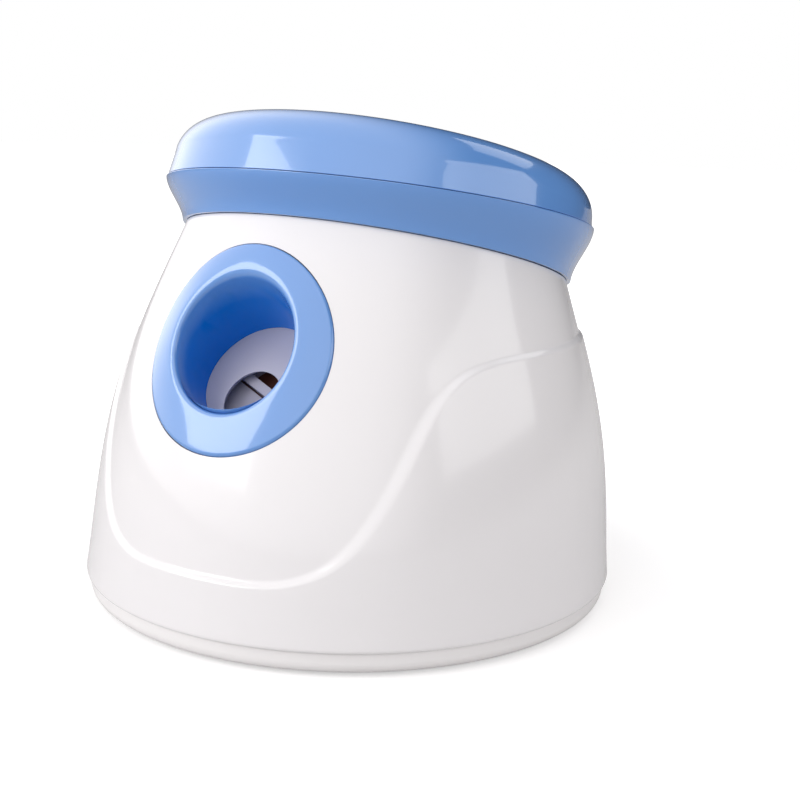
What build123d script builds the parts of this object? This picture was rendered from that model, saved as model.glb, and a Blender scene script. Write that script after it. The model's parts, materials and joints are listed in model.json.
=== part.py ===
from build123d import *
import os
from math import acos, atan2, cos, degrees, pi, radians, sin, tan

# Automatic dog ball launcher. Millimetres, +Z up, origin on the floor under the centre of the base.
# Balls leave towards -Y. Every inner piece is laid out in the launch frame described below.

# ---- Driving dimensions ----------------------------------------------------------------------

# The ball that everything is sized for
BALL_DIAMETER = 50.0
BORE_CLEARANCE = 1.5          # between the ball and the muzzle bore, on the radius
CHUTE_CLEARANCE = 3.0         # between the ball and the feed chute, on the radius

# Body: round sections stacked from the base to the neck, each one shifted back and tipped back
BASE_RADIUS = 123.2           # section at the bottom of the shells
NECK_RADIUS = 91.3            # section at the top of the shells
SHELL_BOTTOM = 11.0           # height of the seam between base plate and shells
NECK_HEIGHT = 154.2           # height of the neck section's centre
NECK_SHIFT = 20.0             # how far the neck's centre lies behind the base's centre
NECK_TILT = 14.9              # degrees that the neck section is tipped back
WALL = 2.5                    # moulded wall of the body
SIDE_SEAM_Y = 35.0            # plane of the seam between front and rear shell
SEAM_GAP = 0.3                # reveal at the seams between neighbouring mouldings
STEP_DEPTH = 1.5              # the front panel lies this far inside the surrounding band
EDGE_ROUND = 1.6              # rounding of the shells' bottom edge
STEP_LOW = 36.0               # the S-shaped step: its height across the front
STEP_HIGH = 122.0             # its height along the sides and the back
STEP_FOOT_X = 62.8            # half width at the foot of its steep part
STEP_HEAD_X = 85.8            # half width at the head of its steep part
STEP_FOOT_ROUND = 38.0
STEP_HEAD_ROUND = 15.0

# Base plate, feet and battery bay
FOOT_HEIGHT = 1.5             # rubber feet lift the base plate this far off the floor
FLOOR_THICKNESS = 3.0
FOOT_RADIUS = 9.0
FOOT_INSET = 25.2             # from the shells' bottom section in to the ring of feet
SCREW_INSET = 14.7            # and in to the ring of base screws
BASE_EDGE_INSET = 2.0         # the base plate's rim lies this far inside the shells' section
CELL_DIAMETER = 26.2          # C cell
CELL_LENGTH = 50.0
CELLS_ALONG = 2
CELL_ROWS = 3
CELL_CLEARANCE = 0.5
CONTACT_SPACE = 4.0           # room for a contact at each end of a row
BAY_FRONT_Y = 18.0
BAY_WALL = 2.0
DOOR_CLEARANCE = 0.4

# Rim and hopper, about the bowl axis
BOWL_BACK = 4.9               # centre of the rim's rolled edge, behind and above the neck's centre
BOWL_RISE = 28.3
BOWL_TILT = 15.0
ROLL_INSET = 9.6              # circle through the crest of the rolled edge, inside the neck's radius
ROLL_RADIUS = 16.6            # outer side of the rolled edge
INNER_ROLL_RADIUS = 11.0      # inner side of the rolled edge
RIM_WALL = 2.6
PART_BACK = 2.7               # parting line between rim and lower collar, from the neck's centre
PART_RISE = 23.0
PART_FLARE = 8.9              # the collar is this much wider there than at the neck
PART_TILT = 11.0
RIM_TUCK = 0.4                # the collar's lower edge stands this far outside the neck

# Launch frame: origin where the muzzle tube ends, z out of the muzzle, y up and back
MUZZLE_END_Y = -73.0
MUZZLE_END_Z = 110.0
LAUNCH_ELEVATION = 41.0
MUZZLE_WALL = 3.0
BEZEL_RADIUS = 44.2
BEZEL_ELEVATION = 33.5        # direction in which the bezel's round outline is cut
BEZEL_CENTRE_Z = 130.4        # height of that direction's line where it crosses y = -100
BEZEL_PROUD = 1.0             # the bezel stands this far out of the panel
LIP_ROUND = 2.8               # rounding where the bezel turns into the bore

# Launch mechanism
STROKE = 52.0                 # travel of the plunger
PLUNGER_REST = 2.0            # gap between the muzzle tube and the plunger's face
SLIDE_CLEARANCE = 0.5         # between plunger and breech, on the radius
BREECH_WALL = 2.6
FACE_THICKNESS = 3.0
FACE_HOLE_RADIUS = 13.2
FACE_HOLE_DROP = 9.5          # the hole lies this far below the launch axis
SKIRT_WALL = 2.2
SPRING_RADIUS = 17.0          # mean radius of the drive spring
SPRING_WIRE = 2.0
SPRING_TURNS = 9
SPRING_PLATE_DEPTH = 8.0      # spring plate behind the plunger's face
SEAT_THICKNESS = 1.2          # fibre seat between the spring and its plate
CAP_THICKNESS = 4.0

# Gears: modules, tooth counts and widths
PRESSURE_ANGLE = 25.0
BACKLASH = 0.2
PULL_MODULE = 1.25
PULL_TEETH = 30               # pitch circle of the pulling sector
PULL_TEETH_KEPT = 15
PULL_WIDTH = 7.0
PULL_OUT = -56.0              # place of the pulling gear along the launch axis
RACK_DROP = 4.4               # from the outside of the breech down to the rack's pitch line
BULL_MODULE = 1.0
BULL_TEETH = 42
SMALL_TEETH = 14              # pinion of both compound gears
FINE_MODULE = 0.8
WHEEL_2_TEETH = 42
WHEEL_1_TEETH = 40
MOTOR_PINION_TEETH = 12
GEAR_WIDTH = 4.0
GEAR_GAP = 1.0
SHAFT_RADIUS = 1.5
SHAFT_CLEARANCE = 0.05
PLATE_THICKNESS = 2.5
MOTOR_RADIUS = 13.8
MOTOR_LENGTH = 38.0

# Controls on the back
PANEL_WIDTH = 44.0
PANEL_HEIGHT = 26.0
PANEL_CENTRE_Z = 78.0
PANEL_RECESS = 2.4
PANEL_CORNER = 5.0
BUTTON_RADIUS = 7.5
BUTTON_TRAVEL = 1.5
LENS_RADIUS = 1.6
LENS_PITCH = 7.0
JACK_HEIGHT = 37.0
JACK_RADIUS = 5.5
JACK_DEPTH = 21.8             # the jack's barrel reaches from the outside of the shell this far in
LAP_GAP = 0.3                 # the rear shell's lip inside the front shell
LAP_WALL = 1.5
LAP_DEPTH = 4.0

# ---- Values worked out from them -------------------------------------------------------------

BOWL_CENTRE_Y = NECK_SHIFT + BOWL_BACK
BOWL_CENTRE_Z = NECK_HEIGHT + BOWL_RISE
ROLL_RING_RADIUS = NECK_RADIUS - ROLL_INSET
PART_CENTRE_Y = NECK_SHIFT + PART_BACK
PART_CENTRE_Z = NECK_HEIGHT + PART_RISE
PART_RADIUS = NECK_RADIUS + PART_FLARE
FOOT_RING_RADIUS = BASE_RADIUS - FOOT_INSET
SCREW_RING_RADIUS = BASE_RADIUS - SCREW_INSET
BORE_RADIUS = BALL_DIAMETER / 2 + BORE_CLEARANCE
CHUTE_RADIUS = BALL_DIAMETER / 2 + CHUTE_CLEARANCE
BREECH_RADIUS = BORE_RADIUS + SLIDE_CLEARANCE
BREECH_OUTER = BREECH_RADIUS + BREECH_WALL
MUZZLE_OUTER = BORE_RADIUS + MUZZLE_WALL
PLUNGER_LENGTH = STROKE + FACE_THICKNESS
BREECH_LENGTH = PLUNGER_REST + PLUNGER_LENGTH + STROKE + 1.0
SPRING_PLATE = 2.5
FLOOR_TOP = FOOT_HEIGHT + FLOOR_THICKNESS
REACH = 400.0                 # larger than the whole object, for cutting

LAUNCH_DIRECTION = Vector(0, -cos(radians(LAUNCH_ELEVATION)), sin(radians(LAUNCH_ELEVATION)))
LAUNCH_UP = Vector(0, sin(radians(LAUNCH_ELEVATION)), cos(radians(LAUNCH_ELEVATION)))
LAUNCH_ORIGIN = Vector(0, MUZZLE_END_Y, MUZZLE_END_Z)
LAUNCH = Plane(origin=LAUNCH_ORIGIN, x_dir=(1, 0, 0), z_dir=LAUNCH_DIRECTION)
GEAR_SKETCH = Plane(origin=LAUNCH_ORIGIN, x_dir=LAUNCH_UP, z_dir=(1, 0, 0))     # side view of the launch frame

# ---- Helpers ---------------------------------------------------------------------------------


def tipped_plane(centre_y, centre_z, tilt):
    """A plane square to an axis that leans back by tilt degrees."""
    lean = radians(tilt)
    return Plane(origin=(0, centre_y, centre_z), x_dir=(1, 0, 0), z_dir=(0, sin(lean), cos(lean)))


def disc(plane, radius):
    return plane * Circle(radius)


def rod(radius, low, high):
    """A round bar on the z axis from low to high."""
    return Pos(0, 0, low) * Cylinder(radius, high - low, align=(Align.CENTER, Align.CENTER, Align.MIN))


def tube(outer, inner, low, high):
    return rod(outer, low, high) - rod(inner, low - 1, high + 1)


def block(x_range, y_range, z_range):
    """A box given by its limits on the three axes."""
    size = [high - low for low, high in (x_range, y_range, z_range)]
    middle = [(low + high) / 2 for low, high in (x_range, y_range, z_range)]
    return Pos(*middle) * Box(*size)


def in_launch_frame(shape):
    return LAUNCH.location * shape


def launch_point(up, out):
    """World point on the middle plane, from launch-frame distances up and out of the muzzle."""
    return LAUNCH_ORIGIN + LAUNCH_UP * up + LAUNCH_DIRECTION * out


# ---- Body surface ----------------------------------------------------------------------------

# Each section is given by how far up the body it lies. The radius falls slowly at first and
# faster towards the neck, and the centre moves back in the same way.
SECTION_FRACTIONS = (0.0, 0.25, 0.5, 0.75, 1.0)
RADIUS_FALL = (0.0, 0.11, 0.275, 0.59, 1.0)
CENTRE_SHIFT = (0.0, 0.17, 0.385, 0.67, 1.0)


def body_section(index, inset):
    fraction = SECTION_FRACTIONS[index]
    height = SHELL_BOTTOM + fraction * (NECK_HEIGHT - SHELL_BOTTOM)
    radius = BASE_RADIUS - RADIUS_FALL[index] * (BASE_RADIUS - NECK_RADIUS)
    plane = tipped_plane(CENTRE_SHIFT[index] * NECK_SHIFT, height, fraction * NECK_TILT)
    return disc(plane, radius - inset)


def body_solid(inset):
    """The whole body as one solid, its surface moved inwards by inset."""
    return loft([body_section(index, inset) for index in range(len(SECTION_FRACTIONS))])


def rear_surface_y(height):
    """Where the body's outside lies on the middle line of its back."""
    hits = body_solid(0).find_intersection_points(Axis((0, 0, height), (0, 1, 0)))
    return max(point.Y for point, normal in hits)


def step_outline(spread=0.0):
    """Front view of the region above the S-shaped step: low under the muzzle, high at the sides."""
    low, high = STEP_LOW - spread, STEP_HIGH - spread
    foot, head, far, top = STEP_FOOT_X + spread, STEP_HEAD_X + spread, BASE_RADIUS + 20, REACH
    curve = FilletPolyline((-far, high), (-head, high), (-foot, low), (foot, low), (head, high), (far, high),
                           radius=[STEP_HEAD_ROUND, STEP_FOOT_ROUND, STEP_FOOT_ROUND, STEP_HEAD_ROUND])
    frame = Polyline((far, high), (far, top), (-far, top), (-far, high))
    return make_face([*curve.edges(), *frame.edges()])


def launch_cutter(radius):
    """Bar through the body's front along the bezel's direction."""
    lean = radians(BEZEL_ELEVATION)
    plane = Plane(origin=(0, -100, BEZEL_CENTRE_Z), x_dir=(1, 0, 0), z_dir=(0, -cos(lean), sin(lean)))
    return plane.location * rod(radius, -45, 60)


# ---- Front and rear shell --------------------------------------------------------------------

FRONT_HALF = block((-REACH, REACH), (-REACH, SIDE_SEAM_Y), (-REACH, REACH))


def stepped_body(inset, spread=0.0):
    """The body as one solid with the panel above the S-shaped step set in."""
    prism = extrude(Plane.XZ * step_outline(spread), amount=REACH, both=True)
    upper_rear = block((-REACH, REACH), (SIDE_SEAM_Y, REACH), (STEP_HIGH - spread, REACH))
    region = (prism & FRONT_HALF) + upper_rear
    return body_solid(inset) - (region - body_solid(inset + STEP_DEPTH))


def make_body_outer():
    outer = stepped_body(0)
    return fillet(outer.edges().group_by(Axis.Z)[0], EDGE_ROUND)


BODY_OUTER = make_body_outer()


def body_skin():
    """The moulded wall of both shells together, stepped inside and outside."""
    return BODY_OUTER - stepped_body(WALL, spread=WALL - 1.0)


def boss(x, y, low, high, outer, inner):
    return Pos(x, y, 0) * tube(outer, inner, low, high)


SHELL_SCREWS = [(SCREW_RING_RADIUS * cos(radians(a)), SCREW_RING_RADIUS * sin(radians(a)))
                for a in (35, 90, 145, 205, 270, 335)]
BOSS_RADIUS = 4.0
BOSS_HEIGHT = 16.0
WEB_THICKNESS = 2.0           # web between a boss and the shell's wall
SCREW_CORE_RADIUS = 1.25
THREAD_RADIUS = 1.2
SCREW_HEAD_RADIUS = 3.0
SCREW_HEAD_HEIGHT = 1.6
SCREW_HOLE_RADIUS = 1.6       # clearance hole for a screw
SOCKET_RADIUS = 0.9           # of a screw head


def shell_bosses(front):
    """Screw bosses that stand on the seam at the bottom of the shells."""
    bosses = Part()
    for x, y in SHELL_SCREWS:
        if (y < SIDE_SEAM_Y) == front:
            bosses += boss(x, y, SHELL_BOTTOM, SHELL_BOTTOM + BOSS_HEIGHT, BOSS_RADIUS, SCREW_CORE_RADIUS)
            outwards = Pos(x, y, SHELL_BOTTOM + BOSS_HEIGHT / 2) * Rot(0, 0, degrees(atan2(y, x)))
            web = outwards * Pos(SCREW_INSET / 2 + BOSS_RADIUS - 0.35, 0, 0)
            web *= Box(SCREW_INSET + 1.3, WEB_THICKNESS, BOSS_HEIGHT)
            bosses += web & BODY_OUTER
    return bosses


def make_front_shell():
    front_half = block((-REACH, REACH), (-REACH, SIDE_SEAM_Y - SEAM_GAP / 2), (-REACH, REACH))
    shell = (body_skin() - launch_cutter(BEZEL_RADIUS + SEAM_GAP)) & front_half
    return shell + shell_bosses(front=True)


PANEL_TOP_Y = rear_surface_y(PANEL_CENTRE_Z + PANEL_HEIGHT / 2)
PANEL_BOTTOM_Y = rear_surface_y(PANEL_CENTRE_Z - PANEL_HEIGHT / 2)
PANEL_LEAN = atan2(PANEL_BOTTOM_Y - PANEL_TOP_Y, PANEL_HEIGHT)


def panel_plane(depth):
    """Plane of the control panel, depth below the chord of the body's back over the panel."""
    normal = Vector(0, cos(PANEL_LEAN), sin(PANEL_LEAN))
    origin = Vector(0, (PANEL_TOP_Y + PANEL_BOTTOM_Y) / 2, PANEL_CENTRE_Z) - normal * depth
    return Plane(origin=origin, x_dir=(-1, 0, 0), z_dir=normal)


def panel_window(shrink):
    """Bar through the rear wall where the control panel shows, reduced by shrink on each side."""
    window = Box(PANEL_WIDTH + 2 * SEAM_GAP + 2 * shrink, PANEL_HEIGHT + 2 * SEAM_GAP + 2 * shrink, 30)
    window = fillet(window.edges().filter_by(Axis.Z), PANEL_CORNER + SEAM_GAP + shrink)
    return panel_plane(0).location * window


JACK_BACK_Y = rear_surface_y(JACK_HEIGHT) - JACK_DEPTH
JACK_PLANE = Plane(origin=(0, JACK_BACK_Y, JACK_HEIGHT), x_dir=(-1, 0, 0), z_dir=(0, 1, 0))


def make_rear_shell():
    rear_half = block((-REACH, REACH), (SIDE_SEAM_Y + SEAM_GAP / 2, REACH), (-REACH, REACH))
    shell = body_skin() & rear_half
    shell -= panel_window(0)
    shell -= JACK_PLANE.location * rod(JACK_RADIUS + SEAM_GAP, 0, 40)
    return shell + seam_tongue() + shell_bosses(front=False)


def seam_tongue():
    """Lip on the rear shell that laps inside the front shell along the side seam."""
    heights = (SHELL_BOTTOM + 20, STEP_HIGH - 8)
    back = SIDE_SEAM_Y + 3
    outside, inside = body_solid(WALL + LAP_GAP), body_solid(WALL + LAP_GAP + LAP_WALL)
    lap = (outside - inside) & block((-REACH, REACH), (SIDE_SEAM_Y - LAP_DEPTH, back), heights)
    bridge_zone = block((-REACH, REACH), (SIDE_SEAM_Y + SEAM_GAP / 2 + 0.2, back), heights)
    bridge = (body_solid(WALL - 0.5) - inside) & bridge_zone
    return lap + bridge


# ---- Base plate with its battery bay ---------------------------------------------------------

BAY_WIDTH = CELLS_ALONG * CELL_LENGTH + 2 * CONTACT_SPACE
BAY_DEPTH = CELL_ROWS * (CELL_DIAMETER + CELL_CLEARANCE) + CELL_CLEARANCE
BAY_HEIGHT = CELL_DIAMETER + 2 * CELL_CLEARANCE
BAY_FLOOR = FLOOR_TOP
BAY_BACK_Y = BAY_FRONT_Y + BAY_DEPTH
FOOT_POSITIONS = [(FOOT_RING_RADIUS * cos(radians(a)), FOOT_RING_RADIUS * sin(radians(a)))
                  for a in (45, 135, 225, 315)]
DOOR_SCREW = (0.0, BAY_FRONT_Y - 8.0)
DOOR_TAB_RADIUS = 7.0


def door_tab(shrink, z_range):
    """Rounded tab at the front of the battery door, where its screw goes through."""
    x, y = DOOR_SCREW
    tab = rod(DOOR_TAB_RADIUS - shrink, *z_range)
    neck = block((shrink - DOOR_TAB_RADIUS, DOOR_TAB_RADIUS - shrink), (0, BAY_FRONT_Y - y), z_range)
    return Pos(x, y, 0) * (tab + neck)


def make_base_plate():
    rim_radius = BASE_RADIUS - BASE_EDGE_INSET
    height = SHELL_BOTTOM - SEAM_GAP - FOOT_HEIGHT
    outer = rod(rim_radius, FOOT_HEIGHT, FOOT_HEIGHT + height)
    outer = fillet(outer.edges().sort_by(Axis.Z)[0], 5.0)
    hollow = rod(rim_radius - 4.0, FLOOR_TOP, FOOT_HEIGHT + height + 1)
    plate = outer - hollow
    # battery bay, open downwards
    bay_outer = block((-BAY_WIDTH / 2 - BAY_WALL, BAY_WIDTH / 2 + BAY_WALL),
                      (BAY_FRONT_Y - BAY_WALL, BAY_BACK_Y + BAY_WALL),
                      (FOOT_HEIGHT, BAY_FLOOR + BAY_HEIGHT + BAY_WALL))
    bay_inner = block((-BAY_WIDTH / 2, BAY_WIDTH / 2), (BAY_FRONT_Y, BAY_BACK_Y),
                      (FOOT_HEIGHT - 1, BAY_FLOOR + BAY_HEIGHT))
    plate = plate + bay_outer - bay_inner
    # ledge round the bay's mouth where the door lies
    ledge = block((-BAY_WIDTH / 2 - 1.5, BAY_WIDTH / 2 + 1.5), (BAY_FRONT_Y - 1.5, BAY_BACK_Y + 1.5),
                  (FOOT_HEIGHT - 1, FOOT_HEIGHT + 2.0))
    plate -= ledge + door_tab(0, (FOOT_HEIGHT - 1, FOOT_HEIGHT + 2.0))
    for x, y in FOOT_POSITIONS:
        plate -= Pos(x, y, 0) * rod(FOOT_RADIUS + 0.1, FOOT_HEIGHT - 1, FOOT_HEIGHT + 1.0)
    for x, y in SHELL_SCREWS:
        plate += boss(x, y, FLOOR_TOP - 1, SHELL_BOTTOM - SEAM_GAP, BOSS_RADIUS, SCREW_HOLE_RADIUS)
        sink_top = FOOT_HEIGHT + SCREW_HEAD_HEIGHT + 0.2
        plate -= Pos(x, y, 0) * rod(SCREW_HEAD_RADIUS + 0.2, FOOT_HEIGHT - 1, sink_top)
        plate -= Pos(x, y, 0) * rod(SCREW_HOLE_RADIUS, 0, SHELL_BOTTOM)
    for low, y in leg_places():
        pocket = block((low - 2, low + PLATE_THICKNESS + 2), (y - LEG_HALF_WIDTH - 2, y + LEG_HALF_WIDTH + 2),
                       (FLOOR_TOP - 1, FLOOR_TOP + LEG_POCKET))
        plate += pocket - plate_leg(y, low, low + PLATE_THICKNESS, FLOOR_TOP + 20, LEG_GAP)
    hole_x, hole_y = DOOR_SCREW
    plate += boss(hole_x, hole_y, FLOOR_TOP - 1, FLOOR_TOP + 8, BOSS_RADIUS, SCREW_CORE_RADIUS)
    plate -= Pos(hole_x, hole_y, 0) * rod(SCREW_CORE_RADIUS, FOOT_HEIGHT, FLOOR_TOP)
    return plate


def make_rubber_feet():
    feet = Part()
    for x, y in FOOT_POSITIONS:
        foot = rod(FOOT_RADIUS, 0, FOOT_HEIGHT + 1.0)
        foot = fillet(foot.edges().sort_by(Axis.Z)[0], 0.8)
        feet += Pos(x, y, 0) * foot
    return feet


def make_base_screws():
    screws = Part()
    head_low = FOOT_HEIGHT + 0.2
    screw = rod(SCREW_HEAD_RADIUS, head_low, head_low + SCREW_HEAD_HEIGHT)
    screw += rod(THREAD_RADIUS, head_low, SHELL_BOTTOM + 9)
    screw -= rod(SOCKET_RADIUS, head_low - 1, head_low + 1)
    for x, y in SHELL_SCREWS:
        screws += Pos(x, y, 0) * screw
    return screws


def make_door_screw():
    x, y = DOOR_SCREW
    low = FOOT_HEIGHT + 0.2
    screw = rod(SCREW_HEAD_RADIUS, low, low + 0.8) + rod(THREAD_RADIUS, low, FLOOR_TOP + 6)
    screw -= rod(SOCKET_RADIUS, low - 1, low + 0.5)
    return Pos(x, y, 0) * screw


# ---- Rim, lower collar and funnel ------------------------------------------------------------

BOWL = tipped_plane(BOWL_CENTRE_Y, BOWL_CENTRE_Z, BOWL_TILT)
PARTING = tipped_plane(PART_CENTRE_Y, PART_CENTRE_Z, PART_TILT)
NECK = tipped_plane(NECK_SHIFT, NECK_HEIGHT, NECK_TILT)
WALL_DRAFT = 0.16             # outward slope of the rim's wall below the rolled edge
FUNNEL_TOP_RADIUS = ROLL_RING_RADIUS - INNER_ROLL_RADIUS
FUNNEL_TOP = -6.0             # height of the funnel's top edge in the bowl frame


def rim_profile():
    """Half section of the rim in the bowl frame: outer wall, rolled edge, inner wall."""
    r, ring, wall = ROLL_RADIUS, ROLL_RING_RADIUS, RIM_WALL
    skirt = -26.0
    inner = FUNNEL_TOP_RADIUS
    outer_foot = ring + r - skirt * WALL_DRAFT
    quarter = sin(radians(45))
    ri = INNER_ROLL_RADIUS
    crest = r
    arc_outer = ThreePointArc((ring + r, 0), (ring + r * quarter, r * quarter), (ring, crest))
    arc_inner = ThreePointArc((ring, crest), (ring - ri * quarter, crest - ri + ri * quarter),
                              (ring - ri, crest - ri))
    down = Line((ring - ri, crest - ri), (inner, FUNNEL_TOP))
    step = Line((inner, FUNNEL_TOP), (inner + wall, FUNNEL_TOP))
    up = Line((inner + wall, FUNNEL_TOP), (ring - ri + wall, crest - ri))
    rw, riw = r - wall, ri - wall
    arc_inner_2 = ThreePointArc((ring - riw, crest - ri), (ring - riw * quarter, crest - ri + riw * quarter),
                                (ring, crest - wall))
    arc_outer_2 = ThreePointArc((ring, crest - wall), (ring + rw * quarter, rw * quarter), (ring + rw, 0))
    inside = Line((ring + rw, 0), (outer_foot - wall, skirt))
    foot = Line((outer_foot - wall, skirt), (outer_foot, skirt))
    outside = Line((outer_foot, skirt), (ring + r, 0))
    return make_face([arc_outer, arc_inner, down, step, up, arc_inner_2, arc_outer_2, inside, foot, outside])


def make_hopper_rim():
    lean = radians(BOWL_TILT)
    section_plane = Plane(origin=BOWL.origin, x_dir=(1, 0, 0), z_dir=(0, -cos(lean), sin(lean)))
    rim = revolve(section_plane * rim_profile(), Axis(BOWL.origin, BOWL.z_dir))
    rim &= PARTING.location * block((-REACH, REACH), (-REACH, REACH), (SEAM_GAP / 2, REACH))
    # locating tongue that drops inside the lower collar
    tongue = tube(PART_RADIUS - 4.8, PART_RADIUS - 6.4, -3.0, 2.5)
    web = tube(PART_RADIUS - 2.4, PART_RADIUS - 6.4, 0.5, 2.5)
    rim += PARTING.location * (tongue + web)
    return rim


# How far down the collar each section lies, and how much of its flare is left there
COLLAR_STEPS = ((0.0, 1.0), (0.14, 0.94), (0.32, 0.74), (0.55, 0.41), (0.78, 0.12), (1.0, 0.0))


def collar_solid(inset):
    sections = []
    for fraction, flare in COLLAR_STEPS:
        radius = NECK_RADIUS + RIM_TUCK + flare * (PART_FLARE - RIM_TUCK)
        y = PART_CENTRE_Y + fraction * (NECK_SHIFT - PART_CENTRE_Y)
        z = PART_CENTRE_Z + fraction * (NECK_HEIGHT - PART_CENTRE_Z)
        tilt = PART_TILT + fraction * (NECK_TILT - PART_TILT)
        sections.append(disc(tipped_plane(y, z, tilt), radius - inset))
    return loft(sections)


def make_lower_collar():
    collar = collar_solid(0) - collar_solid(RIM_WALL)
    collar -= PARTING.location * block((-REACH, REACH), (-REACH, REACH), (-SEAM_GAP / 2, REACH))
    collar -= NECK.location * block((-REACH, REACH), (-REACH, REACH), (-REACH, SEAM_GAP))
    skirt_outer = NECK_RADIUS - WALL - STEP_DEPTH - 0.4
    skirt = tube(skirt_outer, skirt_outer - 2.2, -9.0, 6.0)
    shelf = tube(NECK_RADIUS - 1.0, skirt_outer - 2.2, SEAM_GAP, 3.0)
    return collar + NECK.location * (skirt + shelf)


DROP_HEIGHT = BREECH_OUTER + 34.4               # the drop hole lies this far above the launch axis
BREECH_MOUTH = CHUTE_RADIUS + 1.5               # middle of the breech's feed opening, from the muzzle end
DROP = Plane(origin=launch_point(DROP_HEIGHT, -BREECH_MOUTH), x_dir=(1, 0, 0), z_dir=LAUNCH_UP)
NECK_DEPTH = 7.0
FUNNEL_WALL = 2.4


def funnel_solid(inset):
    top = disc(BOWL.offset(FUNNEL_TOP - 0.3), FUNNEL_TOP_RADIUS + RIM_WALL - inset)
    middle_origin = (BOWL.origin * 0.42 + DROP.origin * 0.58) + Vector(0, 4, -3)
    lean = (BOWL_TILT * 0.45 + LAUNCH_ELEVATION * 0.55)
    middle = disc(tipped_plane(middle_origin.Y, middle_origin.Z, lean), 49.0 - inset)
    bottom = disc(DROP, CHUTE_RADIUS + 0.5 + FUNNEL_WALL - inset)
    return loft([top, middle, bottom])


def make_hopper_funnel():
    funnel = funnel_solid(0) - funnel_solid(FUNNEL_WALL)
    neck = DROP.location * tube(CHUTE_RADIUS + 0.5 + FUNNEL_WALL, CHUTE_RADIUS + 0.5, -NECK_DEPTH, 0.2)
    return funnel + neck


# ---- Launch bezel and muzzle tube ------------------------------------------------------------

def make_launch_bezel():
    """Ring that fills the hole in the front shell, in one piece with the muzzle tube."""
    proud = body_solid(STEP_DEPTH - BEZEL_PROUD)
    face_back = body_solid(STEP_DEPTH + 2.6)
    flange_front = body_solid(STEP_DEPTH + WALL + 0.3)
    flange_back = body_solid(STEP_DEPTH + WALL + 2.3)
    face = (proud - face_back) & launch_cutter(BEZEL_RADIUS)
    flange = (flange_front - flange_back) & launch_cutter(BEZEL_RADIUS + 4.0)
    joiner = (face_back - flange_front) & launch_cutter(BEZEL_RADIUS)
    muzzle = in_launch_frame(rod(MUZZLE_OUTER, 0, 80)) & proud
    bezel = face + joiner + flange + muzzle
    bezel -= in_launch_frame(rod(BORE_RADIUS, -5, 90))
    bore_edges = bezel.edges().filter_by(lambda edge: edge.length < 2 * pi * (MUZZLE_OUTER + 1))
    return fillet(bore_edges.sort_by(Axis.Y)[0], LIP_ROUND)


# ---- Breech tube, chute and plunger, in the launch frame --------------------------------------

SLOT_WIDTH = 11.0
SOCKET_DEPTH = 8.0


def make_breech_tube():
    breech = tube(BREECH_OUTER, BREECH_RADIUS, -BREECH_LENGTH, -0.3)
    breech += tube(MUZZLE_OUTER + 0.3 + 2.2, MUZZLE_OUTER + 0.3, -0.3, SOCKET_DEPTH - 0.5)
    breech += tube(MUZZLE_OUTER + 0.3 + 2.2, BREECH_RADIUS, -3.0, -0.3)
    # feed opening for the ball, and the slot for the rack
    feed = Pos(0, 0, -BREECH_MOUTH) * Rot(-90, 0, 0) * rod(CHUTE_RADIUS, 0, 60)
    slot = block((-SLOT_WIDTH / 2, SLOT_WIDTH / 2), (-50, 0), (-BREECH_LENGTH - 1, -PLUNGER_REST - 0.5))
    return in_launch_frame(breech - feed - slot)


def make_feed_chute():
    up = Pos(0, 0, -BREECH_MOUTH) * Rot(-90, 0, 0)
    chute = up * tube(CHUTE_RADIUS + 2.4, CHUTE_RADIUS, 8, DROP_HEIGHT - NECK_DEPTH - 0.3)
    collar_inner = CHUTE_RADIUS + 0.5 + FUNNEL_WALL + 0.3
    collar = up * (tube(collar_inner + 2.2, collar_inner, DROP_HEIGHT - NECK_DEPTH - 3, DROP_HEIGHT - 3))
    shelf_top = DROP_HEIGHT - NECK_DEPTH - 0.3
    shelf = up * tube(collar_inner + 2.2, CHUTE_RADIUS, shelf_top - 2.7, shelf_top)
    chute_outer = CHUTE_RADIUS + 2.4
    saddle = up * block((-BREECH_OUTER, BREECH_OUTER), (-chute_outer, chute_outer), (8, BREECH_OUTER + 3.4))
    saddle &= tube(BREECH_OUTER + 2.5, BREECH_OUTER + 0.3, -90, 0)
    saddle -= up * rod(CHUTE_RADIUS, 0, 60)
    chute = chute + collar + shelf + saddle - rod(BREECH_OUTER + 0.3, -BREECH_LENGTH, 5)
    chute -= tube(MUZZLE_OUTER + 6, MUZZLE_OUTER, -3.3, 20)
    chute = in_launch_frame(chute) + sensor_brackets()
    half_slot = LEVER_WIDTH / 2 + 0.6
    slot = block((-half_slot, half_slot), SENSOR_SLOT, (-BREECH_MOUTH - CHUTE_RADIUS - 7, -BREECH_MOUTH - 10))
    return chute - in_launch_frame(slot)


# Ball sensor: a lever that reaches through the chute's rear wall, and the forked light sensor
# that its flag swings into. Places are up and out in the launch frame, or from the lever's pivot.
LEVER_UP = BREECH_OUTER + 8.4
LEVER_OUT = -BREECH_MOUTH - CHUTE_RADIUS - 6.0
LEVER_WIDTH = 5.0
LEVER_PIN = 1.2
LEVER_ELBOW = (8.0, 9.5)
LEVER_TIP = (13.0, 5.0)
FLAG_TIP = (9.0, -3.0)
FLAG_WIDTH = 1.6
FORK_OPENING = 2.8
FORK_DEPTH = 5.0
FORK_ARM = 1.6
SENSOR_SLOT = (LEVER_UP - 1.5, LEVER_UP + 16.5)


def bar_outline(start, start_radius, end, end_radius):
    """Flat bar with round ends, seen from the side."""
    return make_hull((Sketch() + [Pos(*start) * Circle(start_radius), Pos(*end) * Circle(end_radius)]).edges())


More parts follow.
